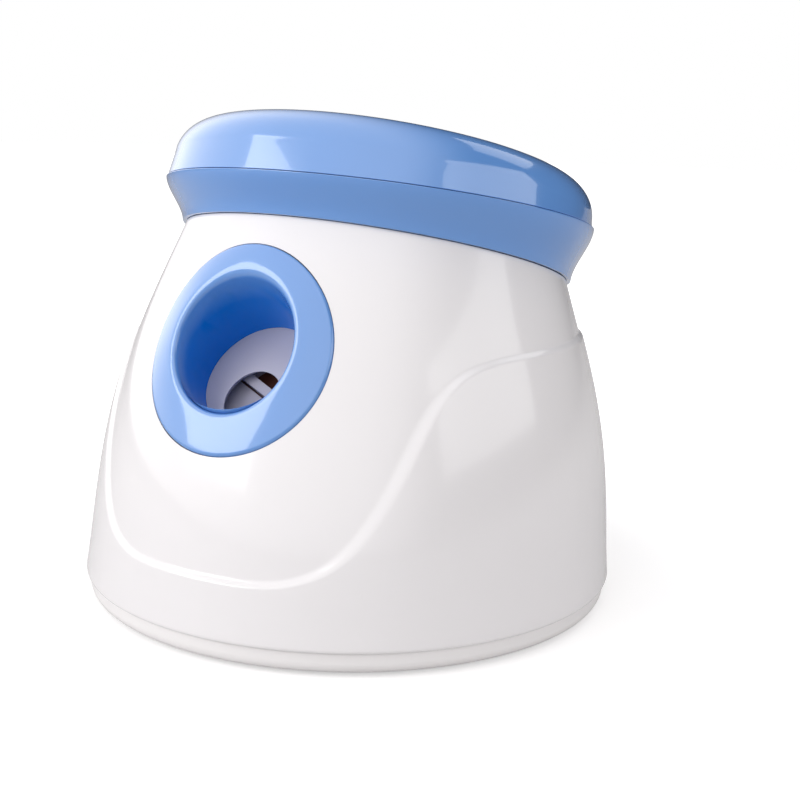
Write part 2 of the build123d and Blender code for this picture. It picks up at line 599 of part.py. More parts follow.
def make_ball_sensor_lever():
    pivot = GEAR_SKETCH * Pos(LEVER_UP, LEVER_OUT)
    arm = bar_outline((0, 0), 2.6, LEVER_ELBOW, 1.5) + bar_outline(LEVER_ELBOW, 1.5, LEVER_TIP, 1.3)
    flag = bar_outline(FLAG_TIP, 1.2, (6.0, 5.0), 1.2)
    lever = extrude(pivot * arm, amount=LEVER_WIDTH / 2, both=True)
    lever += extrude(pivot * flag, amount=FLAG_WIDTH / 2, both=True)
    pin_end = LEVER_WIDTH / 2 + 2.6
    return lever + cross_rod((LEVER_UP, LEVER_OUT), LEVER_PIN, -pin_end, pin_end)


def make_ball_sensor():
    """Forked light sensor behind the lever's flag."""
    half, back = FORK_OPENING / 2 + FORK_ARM, LEVER_OUT - 5.2 - FORK_DEPTH
    body = block((-half, half), (LEVER_UP + 1, LEVER_UP + 11), (back - 2.6, LEVER_OUT - 5.2))
    fork = block((-FORK_OPENING / 2, FORK_OPENING / 2), (LEVER_UP, LEVER_UP + 12), (back, LEVER_OUT))
    pins = Part() + [block((x - 0.25, x + 0.25), (up - 0.25, up + 0.25), (back - 6, back - 2))
                     for x in (-2, 2) for up in (LEVER_UP + 3.5, LEVER_UP + 8.5)]
    return in_launch_frame(body - fork + pins)


def sensor_brackets():
    """Two cheeks on the chute's rear wall that carry the lever's pin and the forked sensor."""
    inner = FORK_OPENING / 2 + FORK_ARM + 0.1
    cheeks = Part()
    for side in (-1, 1):
        cheeks += block(sorted((side * inner, side * (inner + 2))), (LEVER_UP - 4.5, LEVER_UP + 12),
                        (LEVER_OUT - 5.2 - FORK_DEPTH - 2.6, -BREECH_MOUTH - CHUTE_RADIUS - 0.5))
    return in_launch_frame(cheeks) - cross_rod((LEVER_UP, LEVER_OUT), LEVER_PIN + 0.05, -20, 20)


RACK_PITCH_LINE = -(BREECH_OUTER + RACK_DROP)
RACK_HALF_WIDTH = 4.0
RACK_TOP = -(BREECH_RADIUS - SLIDE_CLEARANCE) + 1.2
BUFFER_THICKNESS = 2.0
BUFFER_GAP = 0.1
RACK_SETBACK = 0.5 + BUFFER_THICKNESS + BUFFER_GAP     # from the plunger's face back to the rack's front end
PULL_RADIUS = PULL_MODULE * PULL_TEETH / 2
PULL_CENTRE = (RACK_PITCH_LINE - PULL_RADIUS, PULL_OUT)


def make_plunger():
    radius = BREECH_RADIUS - SLIDE_CLEARANCE
    back = -(PLUNGER_REST + PLUNGER_LENGTH)
    body = rod(radius, back, -PLUNGER_REST) - rod(radius - SKIRT_WALL, back - 1, -PLUNGER_REST - FACE_THICKNESS)
    front_edge = body.edges().filter_by(GeomType.CIRCLE).sort_by(Axis.Z)[-1]
    body = fillet(front_edge, 0.8)
    body -= block((-RACK_HALF_WIDTH, RACK_HALF_WIDTH), (-60, RACK_TOP), (-200, -PLUNGER_REST - RACK_SETBACK))
    body -= Pos(0, -FACE_HOLE_DROP, 0) * rod(FACE_HOLE_RADIUS, -PLUNGER_REST - FACE_THICKNESS - 1, 0)
    return in_launch_frame(body + spring_plate(radius - SKIRT_WALL + 0.2))


# Seen through the hole in the plunger's face: a slanting rib, a slit below it and a window above it
RIB_PLACE = (-8.0, 1.3)
RIB_SLANT = -24.0
RIB_WIDTH = 4.2
RIB_HEIGHT = 3.2
SLIT_WIDTH = 0.9
WINDOW_RADIUS = 11.5
PEG_RADIUS = 1.4
PEG_RING_RADIUS = 13.0
PEG_LENGTH = 6.0
SEAT_RADIUS = SPRING_RADIUS + 3.0
PLATE_FRONT = -PLUNGER_REST - SPRING_PLATE_DEPTH
PLATE_BACK = PLATE_FRONT - SPRING_PLATE


def pegs(radius, low, high):
    """Three pegs that centre the spring and its seat; the first points straight down."""
    peg = Pos(0, -PEG_RING_RADIUS, 0) * rod(radius, low, high)
    return Part() + [Rot(0, 0, angle) * peg for angle in (0, 120, 240)]


def spring_plate(radius):
    """Wall across the plunger that the spring pushes on, with its rib, slit, window and pegs."""
    along = Pos(*RIB_PLACE, 0) * Rot(0, 0, RIB_SLANT)
    plate = rod(radius, PLATE_BACK, PLATE_FRONT)
    slit = along * block((-10, 16), (-RIB_WIDTH / 2 - SLIT_WIDTH, -RIB_WIDTH / 2), (PLATE_BACK - 1, 0))
    window = along * block((-REACH, REACH), (RIB_WIDTH / 2, REACH), (PLATE_BACK - 1, 0))
    plate -= slit + (window & rod(WINDOW_RADIUS, PLATE_BACK - 1, 0))
    rib = along * block((-REACH, REACH), (-RIB_WIDTH / 2, RIB_WIDTH / 2), (PLATE_FRONT, PLATE_FRONT + RIB_HEIGHT))
    return plate + (rib & rod(radius, PLATE_BACK, 0)) + pegs(PEG_RADIUS, PLATE_BACK - PEG_LENGTH, PLATE_BACK)


def make_spring_seat():
    """Disc of vulcanised fibre on the plunger's pegs, between the spring and its plate."""
    seat = rod(SEAT_RADIUS, PLATE_BACK - SEAT_THICKNESS, PLATE_BACK)
    return in_launch_frame(seat - pegs(PEG_RADIUS + 0.1, PLATE_BACK - 5, PLATE_BACK + 1))


def rack_face():
    """Side view of the toothed rack: a bar with straight-sided teeth on its lower side."""
    pitch = pi * PULL_MODULE
    tip = RACK_PITCH_LINE - PULL_MODULE
    root = RACK_PITCH_LINE + 1.25 * PULL_MODULE
    lean = tan(radians(PRESSURE_ANGLE))
    half = (pitch - BACKLASH) / 4
    first_gap = PULL_CENTRE[1]
    front = -PLUNGER_REST - RACK_SETBACK
    count = int((front - first_gap) / pitch) + 1
    points = [(RACK_TOP, first_gap - pitch / 2 - 2), (root, first_gap - pitch / 2 - 2)]
    for k in range(-1, count):
        centre = first_gap + (k + 0.5) * pitch
        points += [(root, centre - half - (root - RACK_PITCH_LINE) * lean),
                   (tip, centre - half + PULL_MODULE * lean),
                   (tip, centre + half - PULL_MODULE * lean),
                   (root, centre + half + (root - RACK_PITCH_LINE) * lean)]
    points += [(root, front), (RACK_TOP, front)]
    points = [p for p in points if p[1] <= front + 0.001]
    return make_face(Polyline(*points, close=True))


def make_plunger_rack():
    bar = GEAR_SKETCH.offset(-RACK_HALF_WIDTH) * rack_face()
    return extrude(bar, amount=2 * RACK_HALF_WIDTH)


def make_stop_buffer():
    """Rubber block at the front end of the breech slot that the rack runs against."""
    front = -PLUNGER_REST - 0.5
    half = SLOT_WIDTH / 2 - 0.3
    pad = block((-half, half), (-MUZZLE_OUTER - 2.3, -BREECH_RADIUS - 0.2), (front - BUFFER_THICKNESS, front))
    return in_launch_frame(pad)


CAP_GAP = 0.2
CAP_FOOT_WIDTH = 30.0


def make_breech_cap():
    back, face = -BREECH_LENGTH - CAP_THICKNESS, -BREECH_LENGTH - CAP_GAP
    cap = rod(BREECH_OUTER + 2.5, back, face)
    cap += tube(BREECH_OUTER + 2.5, BREECH_OUTER + 0.3, face, -BREECH_LENGTH + 8)
    spigot_radius = SPRING_RADIUS - SPRING_WIRE
    cap += tube(spigot_radius, spigot_radius - 2, -BREECH_LENGTH - 1, -BREECH_LENGTH + 6)
    foot = block((-CAP_FOOT_WIDTH / 2, CAP_FOOT_WIDTH / 2), (-REACH, -BREECH_OUTER + 4), (back, face))
    # the rack's rear end passes through here when the plunger is drawn back
    notch = block((-SLOT_WIDTH / 2, SLOT_WIDTH / 2), (-REACH, -BREECH_RADIUS + 6), (-REACH, 0))
    cap = in_launch_frame(cap + foot - notch)
    return cap & block((-REACH, REACH), (-REACH, REACH), (FLOOR_TOP + 0.2, REACH))


def make_drive_spring():
    back = -BREECH_LENGTH + SPRING_WIRE / 2
    front = PLATE_BACK - SEAT_THICKNESS - SPRING_WIRE / 2 - 0.2
    length = front - back
    coil = Helix(length / SPRING_TURNS, length, SPRING_RADIUS)
    section = Plane(origin=coil @ 0, z_dir=coil % 0) * RegularPolygon(SPRING_WIRE / 2, 10)
    wire = sweep(section, path=coil)
    return in_launch_frame(Pos(0, 0, back) * wire)


# ---- Gears -----------------------------------------------------------------------------------

def involute(angle):
    return tan(angle) - angle


def gear_points(module, teeth, phase, kept=None):
    """Corner points of a spur gear's outline; teeth beyond kept are left out."""
    pitch_radius = module * teeth / 2
    pressure = radians(PRESSURE_ANGLE)
    base_radius = pitch_radius * cos(pressure)
    root, tip = pitch_radius - 1.2 * module, pitch_radius + 0.95 * module
    half_at_pitch = pi / (2 * teeth) - BACKLASH / 4 / pitch_radius

    def half_angle(radius):
        roll = acos(min(1.0, base_radius / max(radius, base_radius)))
        return half_at_pitch + involute(pressure) - involute(roll)

    flank = [root, max(root, base_radius) + 0.01, pitch_radius, tip]
    points = []
    for k in range(teeth):
        centre = phase + 2 * pi * k / teeth
        if kept is not None and k >= kept:
            points.append((root * cos(centre), root * sin(centre)))
            continue
        for radius in flank:
            angle = centre - half_angle(radius)
            points.append((radius * cos(angle), radius * sin(angle)))
        for radius in reversed(flank):
            angle = centre + half_angle(radius)
            points.append((radius * cos(angle), radius * sin(angle)))
    return points


def gear(module, teeth, centre, low, high, phase, kept=None):
    """A spur gear whose axis lies along X, from x = low to x = high."""
    outline = make_face(Polyline(*gear_points(module, teeth, phase, kept), close=True))
    face = GEAR_SKETCH.offset(low) * Pos(*centre) * outline
    return extrude(face, amount=high - low)


def cross_rod(centre, radius, low, high):
    """A round bar along X at a place in the gear plane."""
    return GEAR_SKETCH.location * Pos(centre[0], centre[1], 0) * rod(radius, low, high)


def away(centre, distance, angle):
    return (centre[0] + distance * cos(radians(angle)), centre[1] + distance * sin(radians(angle)))


def meshed_phase(phase, centre, teeth, other_centre, other_teeth):
    """Phase of the other gear so that its gap meets this gear's tooth on the line of centres."""
    line = atan2(other_centre[1] - centre[1], other_centre[0] - centre[0])
    shift = (phase - line) * teeth / other_teeth
    return line + pi - shift + pi / other_teeth


BULL_LOW = PULL_WIDTH / 2 + GEAR_GAP
BULL_HIGH = BULL_LOW + GEAR_WIDTH + 1
FINE_2_LOW = BULL_HIGH + GEAR_GAP
FINE_2_HIGH = FINE_2_LOW + GEAR_WIDTH - 0.5
FINE_1_LOW = FINE_2_HIGH + GEAR_GAP
FINE_1_HIGH = FINE_1_LOW + GEAR_WIDTH - 1
PLATE_RIGHT = FINE_1_HIGH + 1.5
PLATE_LEFT = -PULL_WIDTH / 2 - 3.0

GEAR_2_CENTRE = away(PULL_CENTRE, BULL_MODULE * (BULL_TEETH + SMALL_TEETH) / 2, 82.3)
GEAR_1_CENTRE = away(GEAR_2_CENTRE, FINE_MODULE * (WHEEL_2_TEETH + SMALL_TEETH) / 2, 188.0)
MOTOR_CENTRE = away(GEAR_1_CENTRE, FINE_MODULE * (WHEEL_1_TEETH + MOTOR_PINION_TEETH) / 2, -64.0)

PULL_HUB_RADIUS = 5.0
HUB_2_RADIUS = 3.6
HUB_1_RADIUS = 3.2
HUB_GAP = 0.5                 # end play between a hub and the gearbox plates

PULL_PHASE = 0.0
BULL_PHASE = 0.0
PINION_2_PHASE = meshed_phase(BULL_PHASE, PULL_CENTRE, BULL_TEETH, GEAR_2_CENTRE, SMALL_TEETH)
WHEEL_2_PHASE = 0.0
PINION_1_PHASE = meshed_phase(WHEEL_2_PHASE, GEAR_2_CENTRE, WHEEL_2_TEETH, GEAR_1_CENTRE, SMALL_TEETH)
WHEEL_1_PHASE = 0.0
MOTOR_PHASE = meshed_phase(WHEEL_1_PHASE, GEAR_1_CENTRE, WHEEL_1_TEETH, MOTOR_CENTRE, MOTOR_PINION_TEETH)


def bored(shape, centre):
    return shape - cross_rod(centre, SHAFT_RADIUS + SHAFT_CLEARANCE, -30, 60)


def make_sector_gear():
    pull = gear(PULL_MODULE, PULL_TEETH, PULL_CENTRE, -PULL_WIDTH / 2, PULL_WIDTH / 2, PULL_PHASE, PULL_TEETH_KEPT)
    bull = gear(BULL_MODULE, BULL_TEETH, PULL_CENTRE, BULL_LOW, BULL_HIGH, BULL_PHASE)
    hub = cross_rod(PULL_CENTRE, PULL_HUB_RADIUS, PLATE_LEFT + HUB_GAP, PLATE_RIGHT - HUB_GAP)
    return bored(pull + bull + hub, PULL_CENTRE)


def make_reduction_gear_2():
    pinion = gear(BULL_MODULE, SMALL_TEETH, GEAR_2_CENTRE, BULL_LOW - 0.3, FINE_2_LOW + 0.1, PINION_2_PHASE)
    wheel = gear(FINE_MODULE, WHEEL_2_TEETH, GEAR_2_CENTRE, FINE_2_LOW, FINE_2_HIGH, WHEEL_2_PHASE)
    hub = cross_rod(GEAR_2_CENTRE, HUB_2_RADIUS, PLATE_LEFT + HUB_GAP, PLATE_RIGHT - HUB_GAP)
    return bored(pinion + wheel + hub, GEAR_2_CENTRE)


def make_reduction_gear_1():
    pinion = gear(FINE_MODULE, SMALL_TEETH, GEAR_1_CENTRE, FINE_2_LOW - 0.3, FINE_1_LOW + 0.1, PINION_1_PHASE)
    wheel = gear(FINE_MODULE, WHEEL_1_TEETH, GEAR_1_CENTRE, FINE_1_LOW, FINE_1_HIGH, WHEEL_1_PHASE)
    hub = cross_rod(GEAR_1_CENTRE, HUB_1_RADIUS, PLATE_LEFT + HUB_GAP, PLATE_RIGHT - HUB_GAP)
    return bored(pinion + wheel + hub, GEAR_1_CENTRE)


MOTOR_FACE = PLATE_RIGHT + PLATE_THICKNESS
MOTOR_SHAFT_RADIUS = 1.15
MOTOR_NOSE_RADIUS = 4.8       # bearing boss that sits in the plate's hole
MOTOR_TAIL_RADIUS = 5.0


def make_motor_pinion():
    """Pinion and the motor shaft that it is pressed on."""
    pinion = gear(FINE_MODULE, MOTOR_PINION_TEETH, MOTOR_CENTRE, FINE_1_LOW - 0.3, FINE_1_HIGH + 0.3, MOTOR_PHASE)
    return pinion + cross_rod(MOTOR_CENTRE, MOTOR_SHAFT_RADIUS, FINE_1_LOW - 1, MOTOR_FACE + 0.5)


def make_motor():
    can = cross_rod(MOTOR_CENTRE, MOTOR_RADIUS, MOTOR_FACE, MOTOR_FACE + MOTOR_LENGTH)
    can = chamfer(can.edges().filter_by(GeomType.CIRCLE), 0.8)
    nose = cross_rod(MOTOR_CENTRE, MOTOR_NOSE_RADIUS, MOTOR_FACE - 2.0, MOTOR_FACE)
    tail_start = MOTOR_FACE + MOTOR_LENGTH
    tail = cross_rod(MOTOR_CENTRE, MOTOR_TAIL_RADIUS, tail_start, tail_start + 2.5)
    return can + nose + tail - cross_rod(MOTOR_CENTRE, MOTOR_SHAFT_RADIUS + 0.1, MOTOR_FACE - 3, MOTOR_FACE + 3)


POST_OFFSETS = ((-27.25, -2.0), (10.25, 48.0), (11.75, -24.0))     # from the pulling gear's centre
POSTS = [(PULL_CENTRE[0] + up, PULL_CENTRE[1] + out) for up, out in POST_OFFSETS]
POST_RADIUS = 2.6
POST_PAD = 4.2
LEG_HALF_WIDTH = 7.0
LEG_GAP = 0.2
LEG_POCKET = 3.5              # height of the pockets on the base that hold the legs


def plate_outline(with_motor):
    pads = [(PULL_CENTRE, 11.0), (GEAR_2_CENTRE, 8.0), (GEAR_1_CENTRE, 8.0)] + [(p, POST_PAD) for p in POSTS]
    if with_motor:
        pads.append((MOTOR_CENTRE, MOTOR_RADIUS + 1.0))
    sketch = Sketch() + [Pos(*centre) * Circle(radius) for centre, radius in pads]
    return make_hull(sketch.edges())


def leg_places():
    """Left side and y of each leg of the two gearbox plates."""
    for low in (PLATE_RIGHT, PLATE_LEFT - PLATE_THICKNESS):
        for post in (POSTS[0], POSTS[2]):
            yield low, launch_point(*post).Y


def plate_leg(world_y, x_low, x_high, top, grow=0.0):
    return block((x_low - grow, x_high + grow), (world_y - LEG_HALF_WIDTH - grow, world_y + LEG_HALF_WIDTH + grow),
                 (FLOOR_TOP + LEG_GAP - grow, top))


def gearbox_plate(low, with_motor):
    plate = extrude(GEAR_SKETCH.offset(low) * plate_outline(with_motor), amount=PLATE_THICKNESS)
    high = low + PLATE_THICKNESS
    for post in (POSTS[0], POSTS[2]):
        foot = launch_point(*post)
        plate += plate_leg(foot.Y, low, high, foot.Z)
    for centre in (PULL_CENTRE, GEAR_2_CENTRE, GEAR_1_CENTRE):
        plate -= cross_rod(centre, SHAFT_RADIUS, low - 1, high + 1)
    for post in POSTS:
        plate -= cross_rod(post, SCREW_HOLE_RADIUS, low - 1, high + 1)
    if with_motor:
        plate -= cross_rod(MOTOR_CENTRE, MOTOR_NOSE_RADIUS + 0.2, low - 1, high + 1)
    return plate


def make_gearbox_right_plate():
    return gearbox_plate(PLATE_RIGHT, with_motor=True)


def make_gearbox_left_plate():
    plate = gearbox_plate(PLATE_LEFT - PLATE_THICKNESS, with_motor=False)
    for post in POSTS:
        plate += cross_rod(post, POST_RADIUS, PLATE_LEFT - 0.5, PLATE_RIGHT - 0.1)
        plate -= cross_rod(post, SCREW_CORE_RADIUS, PLATE_LEFT + 5, PLATE_RIGHT + 1)
        plate += cross_rod(post, SCREW_HOLE_RADIUS, PLATE_LEFT - PLATE_THICKNESS, PLATE_LEFT)
    return plate


def make_gear_shafts():
    shafts = Part()
    for centre in (PULL_CENTRE, GEAR_2_CENTRE, GEAR_1_CENTRE):
        shafts += cross_rod(centre, SHAFT_RADIUS, PLATE_LEFT - PLATE_THICKNESS, PLATE_RIGHT + PLATE_THICKNESS)
    return shafts


def make_gearbox_screws():
    screws = Part()
    for post in POSTS:
        face = PLATE_RIGHT + PLATE_THICKNESS
        screws += cross_rod(post, 2.8, face, face + 1.8) + cross_rod(post, THREAD_RADIUS, face - 10, face)
    return screws


# ---- Battery pieces --------------------------------------------------------------------------

def row_places():
    """Middle line of each row of cells, with the way its positive ends point."""
    pitch = CELL_DIAMETER + CELL_CLEARANCE
    for row in range(CELL_ROWS):
        yield BAY_FRONT_Y + CELL_CLEARANCE + CELL_DIAMETER / 2 + row * pitch, 1 if row % 2 == 0 else -1


def cell_places():
    for y, way in row_places():
        for column in range(CELLS_ALONG):
            x = (column - (CELLS_ALONG - 1) / 2) * CELL_LENGTH
            yield x, y, way


CELL_CENTRE_Z = BAY_FLOOR + CELL_CLEARANCE + CELL_DIAMETER / 2
CONTACT_THICKNESS = 0.5
CONTACT_HALF_WIDTH = 9.0


def make_battery_cells():
    cells = Part()
    for x, y, way in cell_places():
        can = rod(CELL_DIAMETER / 2, -CELL_LENGTH / 2 + 0.1, CELL_LENGTH / 2 - 2.0)
        can = chamfer(can.edges().filter_by(GeomType.CIRCLE), 0.6)
        tip = rod(3.4, CELL_LENGTH / 2 - 2.2, CELL_LENGTH / 2 - 0.1)
        cells += Pos(x, y, CELL_CENTRE_Z) * Rot(0, 90 * way, 0) * (can + tip)
    return cells


def make_battery_contacts():
    contacts = Part()
    for y, way in row_places():
        for side in (-1, 1):
            wall = side * BAY_WIDTH / 2
            face = wall - side * CONTACT_THICKNESS
            plate = block(sorted((wall, face)), (y - CONTACT_HALF_WIDTH, y + CONTACT_HALF_WIDTH),
                          (BAY_FLOOR + 4, BAY_FLOOR + 23))
            bump_end = wall - side * (CONTACT_SPACE - 0.3)
            radius = 5.0 if side != way else 2.5
            bump = rod(radius, min(face, bump_end), max(face, bump_end))
            contacts += plate + Pos(0, y, CELL_CENTRE_Z) * Rot(0, 90, 0) * bump
    return contacts


def make_battery_door():
    door = block((-BAY_WIDTH / 2 - 1.5 + DOOR_CLEARANCE, BAY_WIDTH / 2 + 1.5 - DOOR_CLEARANCE),
                 (BAY_FRONT_Y - 1.5 + DOOR_CLEARANCE, BAY_BACK_Y + 1.5 - DOOR_CLEARANCE),
                 (FOOT_HEIGHT + 0.1, FOOT_HEIGHT + 1.9))
    door += door_tab(DOOR_CLEARANCE, (FOOT_HEIGHT + 0.1, FOOT_HEIGHT + 1.9))
    x, y = DOOR_SCREW
    door -= Pos(x, y, 0) * (rod(SCREW_HOLE_RADIUS, 0, 10) + rod(SCREW_HEAD_RADIUS + 0.2, 0, FOOT_HEIGHT + 1.0))
    # shallow grip ribs along the rear edge
    for k in range(5):
        door -= Pos(0, BAY_BACK_Y - 6 - 3 * k, FOOT_HEIGHT + 0.1) * Rot(0, 90, 0) * Cylinder(0.6, 30)
    return door


# ---- Electrics and controls ------------------------------------------------------------------

BOARD_THICKNESS = 1.6
BOARD_FACE = -11.7            # front of the circuit board, behind the panel's plane
BOARD_SHIFT = -4.0
BOARD_PILLARS = [(x, y) for x in (-21, 21) for y in (-13, 12)]
BUTTON_X = -9.0
LENS_X = 10.0
FLANGE_MARGIN = 4.0           # the panel's flange reaches this far behind the shell on each side
FLANGE_FACE = -2.2
FLANGE_THICKNESS = 1.6


def make_control_panel():
    plate = Box(PANEL_WIDTH, PANEL_HEIGHT, 2.0)
    plate = fillet(plate.edges().filter_by(Axis.Z), PANEL_CORNER)
    flange = Box(PANEL_WIDTH + 2 * FLANGE_MARGIN, PANEL_HEIGHT + 2 * FLANGE_MARGIN, FLANGE_THICKNESS)
    flange = Pos(0, 0, FLANGE_FACE - FLANGE_THICKNESS / 2) * fillet(flange.edges().filter_by(Axis.Z), 6)
    panel = plate + flange + Pos(0, 0, -1.5) * Box(PANEL_WIDTH - 2, PANEL_HEIGHT - 2, 2)
    panel -= Pos(BUTTON_X, 0, 0) * rod(BUTTON_RADIUS + 0.3, -10, 10)
    for place in lens_places():
        panel -= Pos(*place, 0) * rod(LENS_RADIUS + 0.05, -10, 10)
    for x, y in BOARD_PILLARS:
        panel += Pos(x, y, 0) * rod(2.5, BOARD_FACE, FLANGE_FACE - FLANGE_THICKNESS / 2)
    panel = panel_plane(PANEL_RECESS).location * panel
    behind_wall = body_solid(WALL + SEAM_GAP)
    return (panel & behind_wall) + (panel & panel_window(-SEAM_GAP))


def lens_places():
    return [(LENS_X, (k - 1) * LENS_PITCH) for k in range(3)]


def make_power_button():
    cap = rod(BUTTON_RADIUS, -2.5, 2.6)
    cap = fillet(cap.edges().sort_by(Axis.Z)[-1], 0.8)
    flange = rod(BUTTON_RADIUS + 1.5, -6.5, -2.5 - BUTTON_TRAVEL)
    button = cap + rod(BUTTON_RADIUS - 1, -6.4, -2) + flange
    return panel_plane(PANEL_RECESS).location * Pos(BUTTON_X, 0, 0) * button


def make_indicator_lenses():
    lenses = Part()
    for place in lens_places():
        lens = rod(LENS_RADIUS, -3.5, 1.5)
        lens = fillet(lens.edges().sort_by(Axis.Z)[-1], 0.6)
        lenses += Pos(*place, 0) * lens
    return panel_plane(PANEL_RECESS).location * lenses


def make_power_jack():
    barrel = rod(JACK_RADIUS, 8, JACK_DEPTH) - rod(2.8, 11, 30)
    flange = rod(JACK_RADIUS + 2.0, 14, 17.5) - rod(JACK_RADIUS - 0.5, 13, 18)
    pin = rod(1.0, 9, 20)
    return JACK_PLANE.location * (barrel + pin) + (JACK_PLANE.location * flange & body_solid(WALL + SEAM_GAP))


def make_circuit_board():
    board = Pos(0, BOARD_SHIFT, 0) * Box(70, 40, BOARD_THICKNESS)
    push_switch_height = -BOARD_FACE - 6.5 - BUTTON_TRAVEL - 0.2
    push_switch = Pos(BUTTON_X, 0, (BOARD_THICKNESS + push_switch_height) / 2) * Box(6, 6, push_switch_height)
    chips = Pos(20, 2, -1.8) * Box(10, 8, 2) + Pos(-24, 6, -2.6) * Box(12, 10, 3.6)
    chips += Pos(22, -14, -3.8) * Box(8, 8, 6)
    place = panel_plane(PANEL_RECESS - BOARD_FACE + BOARD_THICKNESS / 2).location
    return place * (board + push_switch + chips)


# ---- Writing ---------------------------------------------------------------------------------

NODES = {
    "front_shell": make_front_shell,
    "rear_shell": make_rear_shell,
    "base_plate": make_base_plate,
    "rubber_feet": make_rubber_feet,
    "base_screws": make_base_screws,
    "hopper_rim": make_hopper_rim,
    "lower_collar": make_lower_collar,
    "hopper_funnel": make_hopper_funnel,
    "launch_bezel": make_launch_bezel,
    "breech_tube": make_breech_tube,
    "feed_chute": make_feed_chute,
    "ball_sensor_lever": make_ball_sensor_lever,
    "ball_sensor": make_ball_sensor,
    "plunger": make_plunger,
    "plunger_rack": make_plunger_rack,
    "spring_seat": make_spring_seat,
    "stop_buffer": make_stop_buffer,
    "breech_cap": make_breech_cap,
    "drive_spring": make_drive_spring,
    "sector_gear": make_sector_gear,
    "reduction_gear_2": make_reduction_gear_2,
    "reduction_gear_1": make_reduction_gear_1,
    "motor_pinion": make_motor_pinion,
    "motor": make_motor,
    "gearbox_right_plate": make_gearbox_right_plate,
    "gearbox_left_plate": make_gearbox_left_plate,
    "gear_shafts": make_gear_shafts,
    "gearbox_screws": make_gearbox_screws,
    "battery_cells": make_battery_cells,
    "battery_contacts": make_battery_contacts,
    "battery_door": make_battery_door,
    "door_screw": make_door_screw,
    "control_panel": make_control_panel,
    "power_button": make_power_button,
    "indicator_lenses": make_indicator_lenses,
    "power_jack": make_power_jack,
    "circuit_board": make_circuit_board,
}

os.makedirs("parts", exist_ok=True)
for name, make in NODES.items():
    shape = make()
    export_step(shape, f"parts/{name}.step")
    print(name, len(shape.solids()), round(shape.volume / 1000, 1), "cm3")
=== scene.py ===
# %% [markdown]
# # Automatic dog ball launcher
# The construction comes as a fixed frame of CAD parts, in metres, with the launcher standing on
# the floor and its muzzle pointing along -Y. This notebook gives it its looks: the large glossy
# mouldings, the plunger and the spring are modelled again as smooth meshes on the same sizes, and
# every part gets a material.

import json
import math
from math import cos, radians, sin

import bmesh
import bpy
import numpy as np
from mathutils import Matrix, Vector
from mathutils.bvhtree import BVHTree


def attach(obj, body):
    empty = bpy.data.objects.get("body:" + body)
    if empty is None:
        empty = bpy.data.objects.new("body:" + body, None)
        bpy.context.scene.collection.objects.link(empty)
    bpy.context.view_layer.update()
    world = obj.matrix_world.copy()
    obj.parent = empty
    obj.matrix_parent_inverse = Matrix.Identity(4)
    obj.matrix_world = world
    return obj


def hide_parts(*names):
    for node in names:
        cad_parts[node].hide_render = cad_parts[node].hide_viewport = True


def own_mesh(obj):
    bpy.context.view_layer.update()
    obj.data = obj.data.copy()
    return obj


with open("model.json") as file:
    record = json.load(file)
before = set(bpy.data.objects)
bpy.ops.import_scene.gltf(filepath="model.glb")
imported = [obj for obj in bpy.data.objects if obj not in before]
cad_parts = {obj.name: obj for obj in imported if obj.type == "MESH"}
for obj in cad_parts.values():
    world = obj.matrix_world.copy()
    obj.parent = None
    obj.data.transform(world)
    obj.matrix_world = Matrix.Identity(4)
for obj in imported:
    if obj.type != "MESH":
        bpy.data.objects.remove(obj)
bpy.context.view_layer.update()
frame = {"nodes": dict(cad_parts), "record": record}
nodes = frame["nodes"]
MM = 0.001

# %% [markdown]
# ## Camera
# The camera stands in front of the launcher and to its right, a little higher than its middle.
# It could be aimed with a Track To constraint, which always looks straight at its target. Its
# place and turn are given as a distance, a height and four angles instead, because those are what
# one changes by hand when a view has to be matched.

# %% Camera
CAMERA_DISTANCE, CAMERA_HEIGHT = 619.76 * MM, 218.75 * MM
CAMERA_AZIMUTH, CAMERA_TURN = 0.5672, -0.0367
CAMERA_PITCH, CAMERA_ROLL = -0.2079, 0.0253
FOCAL_PIXELS, FRAME_PIXELS, SENSOR_WIDTH = 1346.83, 800, 36.0


def put(name, data):
    """New object in the scene, at the origin."""
    thing = bpy.data.objects.new(name, data)
    bpy.context.scene.collection.objects.link(thing)
    return thing


def camera_matrix():
    """Place and turn of the camera, which looks along its own -Z."""
    heading = math.atan2(cos(CAMERA_AZIMUTH), -sin(CAMERA_AZIMUTH)) + CAMERA_TURN
    level = cos(CAMERA_PITCH)
    forward = Vector((level * cos(heading), level * sin(heading), sin(CAMERA_PITCH)))
    right = forward.cross(Vector((0, 0, 1))).normalized()
    up = right.cross(forward)
    c, s = cos(CAMERA_ROLL), sin(CAMERA_ROLL)
    right, up = c * right + s * up, -s * right + c * up
    x, y = CAMERA_DISTANCE * sin(CAMERA_AZIMUTH), -CAMERA_DISTANCE * cos(CAMERA_AZIMUTH)
    turn = Matrix((right, up, -forward)).transposed().to_4x4()
    return Matrix.Translation((x, y, CAMERA_HEIGHT)) @ turn


camera = put("camera", bpy.data.cameras.new("camera"))
camera.matrix_world = camera_matrix()
camera.data.sensor_width = SENSOR_WIDTH
camera.data.lens = FOCAL_PIXELS * SENSOR_WIDTH / FRAME_PIXELS
camera.data.clip_start = 0.01
bpy.context.scene.camera = camera
print("lens", round(camera.data.lens, 2))

# %% [markdown]
# ## Surround
# The launcher stands in a white studio. A plain white world would do for the background, but
# glossy plastic mirrors whatever stands round it, and under an even white it looks like chalk. So
# the world is white only where the camera sees it. For soft light it is a nearly even grey, and in
# reflections it is bright on one side and nearly black on the other, which gives the blue rim its
# dark flank. One small function adds the nodes here and in every material below.

